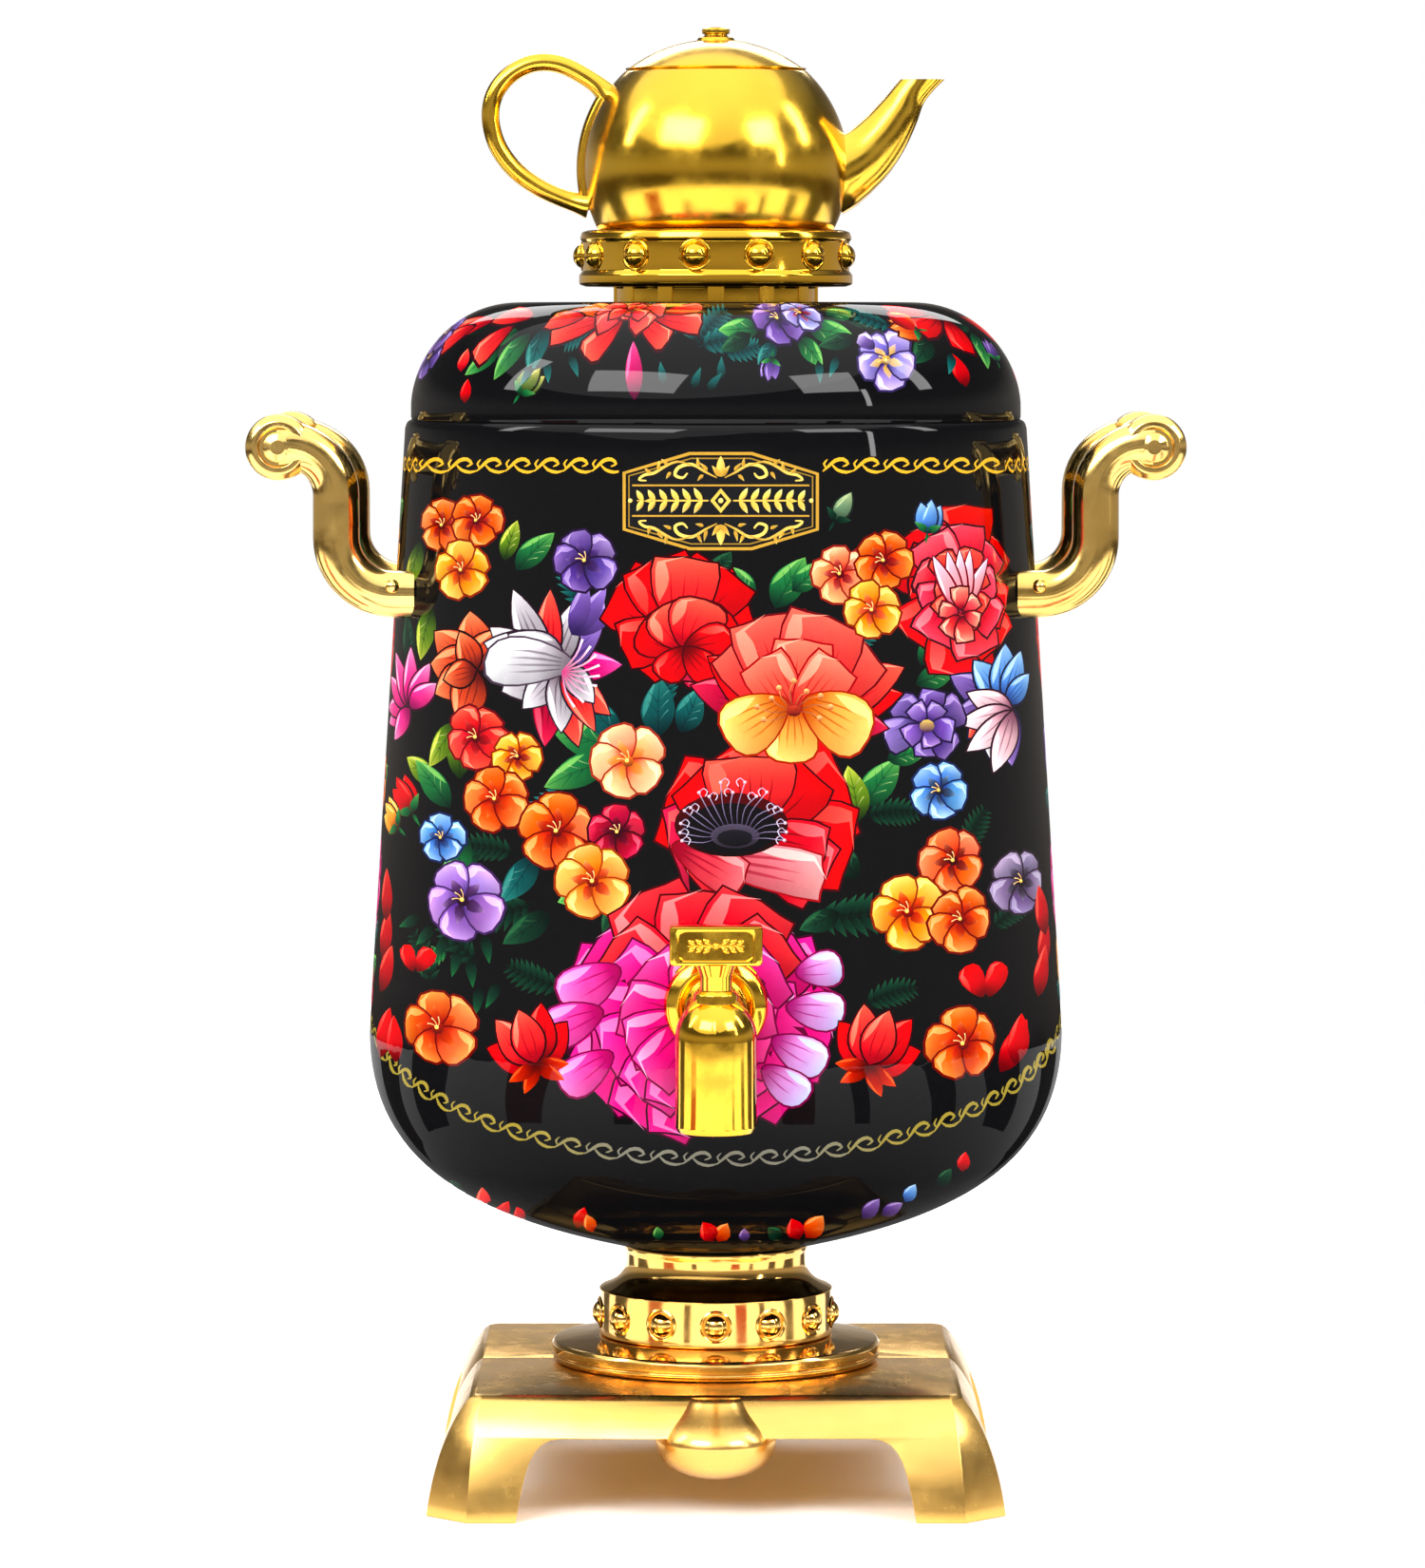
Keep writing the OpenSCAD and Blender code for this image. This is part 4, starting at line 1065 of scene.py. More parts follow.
def art_body():
    g0, g1 = DARKG, GREEN
    # foliage behind
    for x, y, a, L, pal, c in ((560, 950, 205, 74, DARKG, .25), (540, 900, 160, 60, DARKG, -.2), (905, 860, 15, 60, DARKG, .2), (610, 640, 120, 60, TEAL, .3),
                               (500, 1015, 150, 70, DARKG, .3), (470, 1000, 200, 46, GREEN, -.3), (850, 965, -5, 90, DARKG, -.2), (905, 1060, 30, 60, DARKG, .2),
                               (935, 1010, 60, 62, DARKG, -.3), (590, 1040, 170, 64, DARKG, .2), (700, 745, 100, 54, TEAL, .2), (590, 830, 215, 54, TEAL, -.2),
                               (1010, 905, 70, 60, DARKG, .2), (880, 700, 60, 60, TEAL, .2), (1040, 980, 40, 56, DARKG, .3), (450, 1040, 100, 60, DARKG, -.3)):
        fern(x, y, a, L, pal, 8, c)
    for x, y, a, L, W, pal, b in ((812, 640, 65, 62, 17, GREEN, .1), (830, 622, 40, 42, 12, GREEN, -.1), (540, 600, 50, 56, 13, GREEN, .1), (528, 590, 80, 44, 10, OLIVE, .1),
                                  (440, 570, 255, 60, 12, OLIVE, .15), (452, 640, 250, 56, 12, OLIVE, -.15), (905, 850, 60, 64, 17, GREEN, .1), (900, 865, 95, 60, 15, OLIVE, -.1),
                                  (930, 800, 20, 44, 12, GREEN, .1), (650, 790, 165, 84, 19, GREEN, .12), (640, 800, 195, 76, 17, GREEN, -.12), (650, 775, 140, 58, 15, TEAL, .1),
                                  (690, 775, 95, 62, 18, TEAL, .1), (712, 770, 60, 50, 15, TEAL, -.1), (455, 820, 160, 44, 12, OLIVE, .1), (480, 820, 95, 74, 15, OLIVE, .12),
                                  (470, 850, 130, 66, 15, GREEN, -.1), (500, 900, 210, 50, 13, GREEN, .1), (488, 880, 250, 60, 14, GREEN, -.1), (560, 900, 240, 62, 15, TEAL, .1),
                                  (575, 960, 220, 60, 14, DARKG, .1), (965, 700, 60, 44, 12, GREEN, .1), (960, 720, 20, 50, 13, GREEN, -.1), (1010, 640, 120, 40, 10, DARKG, .1),
                                  (640, 930, 205, 60, 15, GREEN, .1), (655, 945, 230, 44, 12, DARKG, -.1), (900, 925, 130, 50, 14, DARKG, .1), (880, 960, 210, 46, 12, DARKG, .1),
                                  (480, 760, 230, 60, 13, OLIVE, -.1), (430, 700, 110, 56, 11, DARKG, .1), (790, 630, 130, 40, 12, GREEN, .1), (745, 610, 60, 36, 11, DARKG, .1)):
        leaf(x, y, a, L, W, pal, b)
    for x, y, a in ((466, 985, 250), (478, 1000, 265), (452, 975, 235), (490, 1010, 285), (505, 985, 290), (520, 1035, 250), (500, 1040, 270), (438, 965, 215)):
        petal(x, y, a, 30, 6, DARKG[0], DARKG[1], GREEN[1], "drop", bend=.1)
    # spiky magenta bloom on the left edge
    for a, L in ((205, 50), (180, 54), (150, 60), (120, 66), (95, 64), (70, 54), (48, 44), (232, 44)):
        petal(428, 745, a, L, 11, (120, 4, 70), (226, 50, 130), (252, 150, 196), "leaf", bend=rng.uniform(-.15, .15), hi=(255, 214, 232), shade=(50, 2, 30))
    # red-orange bloom behind the magnolia
    for a, L, W in ((100, 62, 22), (140, 66, 22), (175, 58, 22), (215, 56, 20), (250, 60, 20), (65, 50, 20), (120, 44, 14), (195, 40, 14)):
        petal(498, 705, a, L, W, (70, 12, 14), (186, 60, 36), (232, 130, 84), "leaf", bend=rng.uniform(-.1, .1), hi=(246, 180, 130), shade=(30, 4, 6), veins=3)
    # magnolia
    for a, L, W, pal, b in ((10, 76, 17, MAGENTA, .1), (-28, 78, 16, CORAL, .15), (-58, 84, 17, CORAL, .2), (-88, 80, 17, CRIMSON, .1), (35, 74, 15, LILAC, -.1),
                            (62, 78, 15, WHITE, -.12), (95, 84, 14, CORAL, .1), (120, 92, 16, WHITE, .1), (150, 76, 18, WHITE, .1)):
        petal(575, 705, a, L, W, pal[0], pal[1], pal[2], "leaf", bend=b, hi=pal[3], shade=(30, 10, 22), veins=3)
    for a, L, W, c in ((168, 86, 26, WHITE), (200, 70, 26, WHITE), (232, 62, 17, WHITE), (262, 70, 15, WHITE), (290, 76, 12, CORAL), (-48, 50, 13, WHITE), (150, 66, 20, WHITE)):
        petal(590, 700, a, L, W, c[0], c[1], c[2], "leaf", bend=rng.uniform(-.12, .12), hi=c[3], shade=(36, 20, 34), veins=3)
    petal(600, 700, 172, 92, 27, (96, 86, 94), (186, 182, 188), (238, 238, 240), "round", bend=-.1, hi=(255, 255, 255), shade=(60, 44, 60), veins=4)
    for a in range(-80, 60, 16):
        ribbon([(588, 706), (588 + 22 * math.cos(math.radians(a)), 706 - 22 * math.sin(math.radians(a))),
                (588 + 40 * math.cos(math.radians(a + 9)), 706 - 40 * math.sin(math.radians(a + 9)))], 1.2, 2.6, (180, 60, 110), (246, 220, 232), 3)
    # lilac and pink upper tips of the magnolia
    for a, L in ((28, 66), (48, 62), (68, 58)):
        petal(598, 668, a, L, 11, LILAC[0], LILAC[1], LILAC[2], "leaf", bend=-.1, hi=LILAC[3])
    # red double tulip
    for a, L, W, q in ((172, 62, 30, CRIMSON), (148, 82, 40, RED), (300, 62, 28, CRIMSON), (330, 66, 28, RED), (262, 56, 28, CRIMSON), (225, 62, 28, RED), (22, 80, 36, RED),
                       (112, 80, 40, RED), (56, 82, 42, RED), (84, 78, 38, CORAL), (200, 66, 28, RED)):
        petal(712, 662, a, L, W, q[0], q[1], q[2], "frill", bend=rng.uniform(-.1, .1), hi=q[3], shade=(40, 1, 6), veins=3)
    for a, L, W, q in ((150, 52, 28, RED), (40, 58, 30, RED), (118, 50, 28, CORAL), (72, 54, 32, CORAL), (12, 50, 22, RED), (235, 40, 18, RED), (310, 44, 18, RED)):
        petal(718, 682, a, L, W, q[0], q[1], q[2], "round", bend=rng.uniform(-.1, .1), hi=q[3], shade=(70, 3, 10), veins=3)

    # peony on the right
    rosette_flower(1008, 620, 54, 92, [(10, 1.0, 0.42, RED, 6), (9, 0.78, 0.40, ((90, 3, 22), (206, 26, 48), (232, 76, 92), (250, 160, 160)), 7),
                                       (7, 0.52, 0.34, CORAL, 8)], 12)
    for a in range(60, 130, 14):
        petal(1008, 645, a, 66, 7, (150, 40, 70), (240, 150, 160), (236, 210, 236), "leaf", bend=rng.uniform(-.1, .1), hi=(250, 240, 250), shade=(110, 10, 30))
    rosette_flower(1008, 645, 22, 30, [(6, 1.0, 0.36, ((140, 10, 30), (234, 72, 70), (252, 150, 120), (255, 220, 190)), 8)], 40)
    # light blue lily and lilac bloom on the right edge
    for a, L, W, p in ((150, 60, 17, LILAC), (118, 56, 15, BLUE), (90, 62, 16, BLUE), (62, 58, 15, BLUE), (185, 50, 16, LILAC), (215, 50, 15, CORAL), (35, 46, 12, BLUE),
                       (245, 60, 17, WHITE), (275, 66, 15, LILAC)):
        petal(1055, 740, a, L, W, p[0], p[1], p[2], "leaf", bend=rng.uniform(-.12, .12), hi=p[3], shade=(18, 18, 44), veins=3)
    for a, L in ((160, 50), (195, 54), (225, 60), (255, 66)):
        petal(1062, 748, a, L, 13, (110, 60, 80), (216, 170, 178), (238, 220, 226), "leaf", bend=.12, hi=(252, 246, 248), shade=(40, 16, 30), veins=2)
    rosette_flower(972, 762, 46, 36, [(6, 1.0, 0.42, LILAC, 6), (5, 0.66, 0.42, ((50, 30, 96), (108, 76, 160), (160, 128, 204), (214, 196, 238)), 8)], 20)
    disc(972, 764, 8, 7, (60, 30, 70), (226, 190, 90), 9)
    small5(985, 832, 30, BLUE, core=(30, 40, 60))
    # coral lily over the poppy
    for a, L, W, q in ((166, 116, 26, CRIMSON), (150, 112, 28, RED), (10, 112, 25, RED), (26, 122, 28, CORAL), (-6, 96, 22, CRIMSON), (186, 84, 22, CRIMSON)):
        petal(836, 752, a, L, W, q[0], q[1], q[2], "leaf", bend=rng.uniform(-.06, .06), hi=q[3], shade=(46, 2, 8), veins=4)
    for a, L, W in ((128, 104, 40), (44, 108, 38), (104, 112, 46), (70, 112, 46)):
        petal(834, 752, a, L, W, (120, 8, 18), (216, 50, 50), (238, 98, 82), "frill", bend=rng.uniform(-.05, .05), hi=(250, 168, 142), shade=(96, 4, 14), veins=5)
    for a, L, W in ((84, 84, 34), (122, 74, 28), (52, 76, 28)):
        petal(834, 754, a, L, W, (150, 26, 24), (226, 74, 62), (244, 122, 98), "frill", bend=0, hi=(252, 184, 156), shade=(150, 16, 24), veins=4)
    # poppy
    for a, L, W, q in ((160, 98, 54, RED), (20, 112, 56, RED), (196, 92, 46, CRIMSON), (-14, 112, 50, RED), (130, 84, 50, RED), (52, 88, 52, RED), (92, 76, 52, CORAL)):
        petal(788, 870, a, L, W, (84, 2, 8), q[1], q[2], "frill", bend=rng.uniform(-.06, .06), hi=(246, 104, 92), shade=(60, 1, 8), veins=5)
    for a, L, W in ((214, 80, 40), (328, 92, 42), (345, 82, 34)):
        petal(788, 880, a, L, W, (76, 1, 10), (184, 12, 28), (224, 52, 60), "frill", bend=rng.uniform(-.06, .06), hi=(244, 130, 134), shade=(56, 1, 8), veins=4)
    # yellow petals of the lily falling over the poppy
    for x, y, a, L, W in ((830, 744, 268, 58, 30), (824, 738, 212, 74, 33), (842, 738, 334, 78, 34)):
        petal(x, y, a, L, W, (176, 62, 16), (226, 152, 66), (240, 192, 104), "round", bend=rng.uniform(-.08, .08), hi=(250, 222, 150), shade=(150, 30, 14), veins=4)
    for i in range(9):
        a = math.radians(200 - i * 27.5)
        r = 34 + 6 * math.sin(i * 2.1)
        px, py = 832 + r * math.cos(a), 748 - 0.8 * r * math.sin(a)
        ribbon([(832, 748), (832 + 0.6 * r * math.cos(a + .2), 748 - 0.5 * r * math.sin(a + .2)), (px, py)], 1.4, 0.8, (90, 20, 16), (214, 150, 90), 3)
        disc(px, py, 3.2, 3.2, (150, 60, 30), (250, 206, 130), 7)
    disc(832, 748, 8, 6, (80, 14, 14), (190, 60, 40), 9)
    # pale lower lip of the poppy, its dark heart and curled stamens
    petal(736, 904, -4, 134, 27, (140, 20, 40), (206, 96, 108), (232, 160, 158), "frill", bend=.10, hi=(250, 214, 206), shade=(150, 8, 20), veins=3)
    petal(705, 890, -24, 86, 24, (130, 8, 30), (206, 56, 70), (230, 110, 116), "frill", bend=.08, hi=(244, 170, 168), shade=(120, 5, 16), veins=3)
    disc(766, 868, 60, 34, (20, 6, 8), (74, 6, 10), 26)
    disc(766, 872, 50, 27, (8, 8, 12), (14, 10, 14), 24)
    disc(770, 880, 26, 13, (36, 30, 40), (70, 62, 80), 18)
    disc(770, 882, 19, 9, (12, 12, 16), (24, 22, 30), 14)
    for i in range(17):
        t = math.radians(196 - i * 13.2)
        ex, ey = 768 + 56 * math.cos(t), 874 - (52 if i % 2 else 40) * math.sin(t)
        mx, my = 768 + 34 * math.cos(t + .08), 877 - 28 * math.sin(t + .08)
        ribbon([(768 + 20 * math.cos(t), 880 - 11 * math.sin(t)), (mx, my), (ex, ey)], 0.7, 1.0, (70, 60, 90), (170, 156, 190), 3)
        s = 1 if i < 8 else -1
        ribbon([(ex, ey), (ex + s * 4.5, ey - 4.5), (ex + s * 9, ey - 1), (ex + s * 6.5, ey + 4)], 1.1, 0.8, (160, 146, 180), (220, 208, 230), 2)
        disc(ex, ey, 1.9, 1.9, (170, 130, 150), (236, 220, 230), 6)
    # bunches of small blossom
    small5(462, 553, 27, ((150, 30, 12), (214, 92, 40), (236, 150, 80), (250, 200, 130)))
    small5(498, 548, 27, ORANGE)
    small5(482, 600, 30, YELLOW, core=(170, 40, 20))
    small5(880, 604, 30, ((190, 40, 30), (240, 120, 80), (250, 180, 130), (255, 216, 176)))
    small5(926, 590, 30, ORANGE)
    small5(914, 642, 30, YELLOW, core=(190, 50, 40))
    small5(497, 776, 33, CORAL)
    small5(541, 796, 26, YELLOW)
    small5(517, 841, 33, ORANGE, core=(180, 40, 20))
    small5(657, 801, 38, ((206, 60, 40), (244, 150, 100), (252, 200, 150), (255, 228, 190)), core=(230, 110, 40))
    small5(582, 875, 38, ORANGE, core=(140, 20, 16))
    small5(646, 876, 30, CRIMSON, core=(60, 4, 20))
    small5(620, 928, 38, ((206, 70, 20), (240, 140, 60), (252, 196, 104), (255, 226, 160)), core=(160, 30, 20))
    small5(612, 590, 33, LILAC, core=(40, 20, 70))
    small5(483, 948, 40, ((70, 40, 110), (140, 96, 180), (190, 150, 214), (230, 210, 242)), core=(40, 14, 50))
    small5(460, 882, 25, BLUE, core=(20, 40, 90))
    small5(1000, 906, 33, ((160, 20, 14), (226, 84, 44), (244, 140, 90), (252, 190, 140)), core=(80, 8, 10))
    small5(952, 960, 38, YELLOW, core=(180, 20, 16))
    small5(1008, 968, 33, ORANGE, core=(150, 20, 14))
    small5(456, 1083, 40, ORANGE, core=(170, 30, 14), sq=0.9)
    small5(1011, 1100, 38, ORANGE, core=(160, 24, 20))
    small5(1072, 928, 33, ((50, 40, 60), (112, 96, 130), (160, 146, 178), (196, 186, 210)), core=(30, 24, 36))
    # buds and hearts
    bud(972, 560, 80, 34, BLUE)
    bud(875, 548, 60, 34, ((30, 50, 34), (90, 120, 90), (150, 170, 120), (200, 210, 160)), DARKG, 1)
    bud(430, 855, 130, 44, RED)
    bud(415, 870, 150, 40, ((150, 40, 10), (230, 150, 50), (248, 206, 100), (255, 236, 160)))
    for x, y, r in ((433, 1008, 17), (1035, 1030, 22)):
        petal(x - r * .1, y + r * .9, 118, r * 1.75, r * .62, RED[0], RED[1], RED[2], "round", hi=RED[3])
        petal(x + r * .1, y + r * .9, 62, r * 1.75, r * .62, RED[0], RED[1], RED[2], "round", hi=RED[3])
    petal(395, 1115, 72, 60, 14, RED[0], RED[1], RED[2], "leaf", hi=RED[3])
    petal(412, 1120, 95, 50, 12, RED[0], RED[1], RED[2], "leaf", hi=RED[3])
    petal(1050, 1130, 55, 62, 15, RED[0], RED[1], RED[2], "leaf", hi=RED[3])
    petal(1066, 1122, 80, 54, 13, RED[0], RED[1], RED[2], "leaf", hi=RED[3])
    for x, y, a in ((398, 1010, 80), (402, 970, 95), (1096, 1020, 80), (1098, 985, 100), (1090, 1050, 70), (396, 1045, 70)):
        petal(x, y, a, 56, 13, (80, 4, 10), (176, 16, 26), (214, 60, 50), "leaf", hi=(236, 120, 100))
    # big magenta peony behind the tap
    for a, L, W, p in ((165, 148, 44, MAGENTA), (190, 140, 44, MAGENTA), (215, 138, 42, MAGENTA), (14, 148, 44, MAGENTA), (-10, 148, 44, MAGENTA), (-34, 142, 42, MAGENTA),
                       (-62, 128, 42, MAGENTA), (242, 134, 42, MAGENTA), (-90, 130, 42, MAGENTA), (140, 138, 44, CORAL), (40, 138, 44, CRIMSON)):
        petal(730, 1072, a, L, W * 1.25, (70, 1, 34), (184, 10, 84), (214, 44, 128), "frill", bend=rng.uniform(-.06, .06), hi=(232, 140, 196), shade=(56, 2, 30), veins=4)
    for a, L, W, p in ((118, 140, 42, RED), (90, 128, 44, RED), (62, 136, 42, RED), (140, 118, 34, CRIMSON), (42, 122, 34, RED)):
        petal(730, 1062, a, L, W * 1.15, (84, 1, 14), (196, 14, 34), (228, 58, 62), "frill", bend=rng.uniform(-.06, .06), hi=(250, 160, 160), shade=(60, 2, 10), veins=4)
    for a, L, W in ((150, 110, 36), (176, 116, 36), (204, 108, 36), (232, 104, 34), (258, 98, 34), (286, 100, 34), (312, 106, 34), (340, 112, 36), (6, 114, 36), (32, 108, 34)):
        petal(730, 1076, a, L, W * 1.15, (90, 1, 44), (196, 12, 98), (224, 62, 146), "frill", bend=rng.uniform(-.08, .08), hi=(236, 150, 206) if 100 < a < 300 else (206, 196, 236), shade=(84, 2, 44), veins=3)
    for a, L, W in ((134, 86, 30), (164, 84, 30), (196, 80, 28), (226, 80, 28), (314, 80, 28), (346, 84, 30), (16, 84, 30), (48, 84, 28), (92, 74, 30)):
        petal(730, 1078, a, L, W * 1.1, (104, 2, 44), (206, 18, 106), (230, 76, 152), "frill", bend=rng.uniform(-.1, .1), hi=(250, 206, 232), shade=(110, 2, 56), veins=2)
    for x, y, a, L, W in ((648, 1020, 210, 70, 26), (630, 1065, 200, 66, 24), (640, 1110, 215, 64, 22), (825, 1060, -10, 60, 22), (810, 1095, -28, 62, 22), (800, 1125, -40, 56, 20), (835, 1025, 10, 48, 20)):
        c = ((150, 8, 76), (214, 60, 146), (232, 120, 186)) if a > 100 else ((150, 20, 100), (196, 130, 200), (178, 186, 226))
        petal(x, y, a, L, W, c[0], c[1], c[2], "round", bend=rng.uniform(-.08, .08), hi=(236, 190, 226) if a > 100 else (216, 222, 246), shade=(110, 8, 60), veins=2)
    # red tulips on either side
    tulip(560, 1120, 56, 18)
    tulip(912, 1122, 58, -20)
    # petals under the bowl
    for x, y, a, L, W, p in ((505, 1278, 95, 26, 8, CORAL), (520, 1286, 60, 22, 7, RED), (545, 1288, 110, 16, 6, RED), (603, 1296, 70, 24, 8, RED), (620, 1300, 110, 20, 7, ORANGE),
                             (752, 1310, 62, 22, 9, ORANGE), (748, 1310, 120, 24, 10, RED), (845, 1306, 52, 30, 11, ORANGE), (838, 1308, 110, 24, 10, RED), (820, 1308, 140, 20, 8, DARKG),
                             (905, 1286, 50, 28, 8, LILAC), (925, 1282, 30, 26, 7, LILAC), (950, 1268, 60, 22, 7, BLUE), (780, 1310, 90, 14, 6, LILAC), (690, 1308, 100, 14, 6, GREEN),
                             (480, 1262, 120, 20, 7, DARKG), (985, 1252, 55, 24, 7, DARKG), (1010, 1236, 80, 22, 7, RED)):
        petal(x, y, a, L, W, p[0], p[1], p[2], "leaf", hi=p[3])


def scroll(fx, fy, n, half, cg=FG):
    """Running scroll: fx, fy turn (position along in periods, offset -1..1) into a place."""
    for i in range(n):
        def at(s, v):
            return (fx(i + s, v * half), fy(i + s, v * half))
        ribbon([at(0.0, 0.75), at(0.18, 0.15), at(0.42, -0.6), at(0.68, -0.75), at(0.84, -0.2), at(0.66, 0.15)], 0.9, 1.0, cg, None, 2, 4.0)
        ribbon([at(0.30, -0.15), at(0.48, 0.55), at(0.78, 0.85), at(1.02, 0.62)], 1.0, 0.8, cg, None, 2, 3.4)
        ribbon([at(0.12, 0.35), at(0.04, -0.2), at(0.16, -0.75)], 1.0, 0.5, cg, None, 2, 2.2)


def art_bands():
    for x0, x1, n in ((438, 650, 7), (862, 1052, 6)):
        p = (x1 - x0) / n
        scroll(lambda s, v, x0=x0, p=p: x0 + s * p, lambda s, v: 490 + v, n, 8.5, (222, 170, 52))
    n = 28
    def ang(s):
        return math.radians(-78 + 156 * s / n)
    for i in range(n):
        mid = abs(i + 0.5 - n / 2)
        c = mix3((120, 118, 104), (150, 132, 52), min(1, max(0, (mid - 3) / 3)))
        fx = lambda s, v, i=i: 750 + (365) * math.sin(ang(i + s)) * (1 + v * 0.0006)
        fy = lambda s, v, i=i: 1064 + 158 * math.cos(ang(i + s)) + v
        half = 8.5
        def at(s, v):
            return (fx(s, v * half), fy(s, v * half))
        ribbon([at(0.0, 0.75), at(0.18, 0.15), at(0.42, -0.6), at(0.68, -0.75), at(0.84, -0.2), at(0.66, 0.15)], 0.9, 1.0, c, None, 2, 3.8)
        ribbon([at(0.30, -0.15), at(0.48, 0.55), at(0.78, 0.85), at(1.02, 0.62)], 1.0, 0.8, c, None, 2, 3.2)
        ribbon([at(0.12, 0.35), at(0.04, -0.2), at(0.16, -0.75)], 1.0, 0.5, c, None, 2, 2.0)
    # medallion: eight-sided double frame with leaf scrolls and a running ornament
    cx, cy = 755, 528
    octo = np.array([(652, 497), (722, 476), (788, 476), (858, 498), (858, 558), (788, 579), (722, 579), (652, 558)], float)
    def inset(d):
        c = np.array([cx, cy])
        return c + (octo - c) * (1 - d / np.array([104.0, 52.0]))
    def dense(poly):
        out = []
        for a, b in zip(poly, np.roll(poly, -1, axis=0)):
            m = max(2, int(np.linalg.norm(b - a) / 8))
            out += [a + (b - a) * t / m for t in range(m)]
        return np.array(out)
    g = (188, 144, 56)
    flatfill(dense(inset(-4)), BK)
    flatfill(dense(inset(0)), g)
    flatfill(dense(inset(3.2)), (20, 18, 18))
    flatfill(dense(inset(6.0)), (150, 116, 46))
    flatfill(dense(inset(7.4)), (22, 22, 24))
    for y in (511, 543):
        ribbon([(662, y), (755, y), (848, y)], 1.8, 1.8, g, None, 6)
    for sy, y0 in ((-1, 494), (1, 560)):
        for sx in (-1, 1):
            def pt(a, b):
                return (cx + sx * a, y0 + sy * b)
            ribbon([pt(4, -9), pt(16, -3), pt(30, 5), pt(44, 2), pt(48, -6), pt(40, -9), pt(35, -4)], 1.0, 1.6, g, (236, 200, 100), 3, 3.6)
            ribbon([pt(30, 4), pt(46, 8), pt(60, 2), pt(70, -4), pt(80, -6), pt(86, -11), pt(78, -12)], 1.0, 1.2, g, (236, 200, 100), 3, 3.2)
            for a, b, an, L in ((14, -2, 60, 12), (24, 2, 100, 10), (56, 4, 60, 9), (66, -1, 110, 9), (74, -5, 60, 8), (18, -6, -30, 9), (52, -3, -40, 9)):
                p = pt(a, b)
                petal(p[0], p[1], (an if sx > 0 else 180 - an) * (1 if sy < 0 else -1), L, 2.0, g, g, (240, 206, 110), "drop", bend=0.25 * sx, n=4)
        petal(cx, y0 + sy * -8, 90 * (-sy), 22, 4.5, g, (230, 190, 90), (240, 206, 110), "leaf", n=5)
        for s in (-1, 1):
            petal(cx, y0 + sy * -8, 90 * (-sy) + s * 38, 15, 3, g, g, (240, 206, 110), "drop", n=4)
    gg = (226, 184, 84)
    g2 = (246, 218, 140)
    flatfill([(cx, 514), (cx + 11, 527), (cx, 540), (cx - 11, 527)], gg)
    flatfill([(cx, 519), (cx + 6.5, 527), (cx, 535), (cx - 6.5, 527)], (22, 22, 24))
    disc(cx, 527, 2.8, 2.8, gg, g2, 8)
    for sx in (-1, 1):
        ribbon([(cx + sx * 13, 527), (cx + sx * 40, 527), (cx + sx * 88, 527)], 1.4, 1.0, gg, None, 5, 1.8)
        for i in range(6):
            x = cx + sx * (19 + i * 12.4)
            for sy in (-1, 1):
                petal(x, 527 + sy * 0.6, (42 if sx > 0 else 138) * (1 if sy < 0 else -1), 15.5 - i * 0.6, 3.1, gg, gg, g2, "leaf", bend=-0.22 * sx * (1 if sy < 0 else -1), n=5)
        disc(cx + sx * 95, 527, 2.4, 2.4, gg, g2, 7)


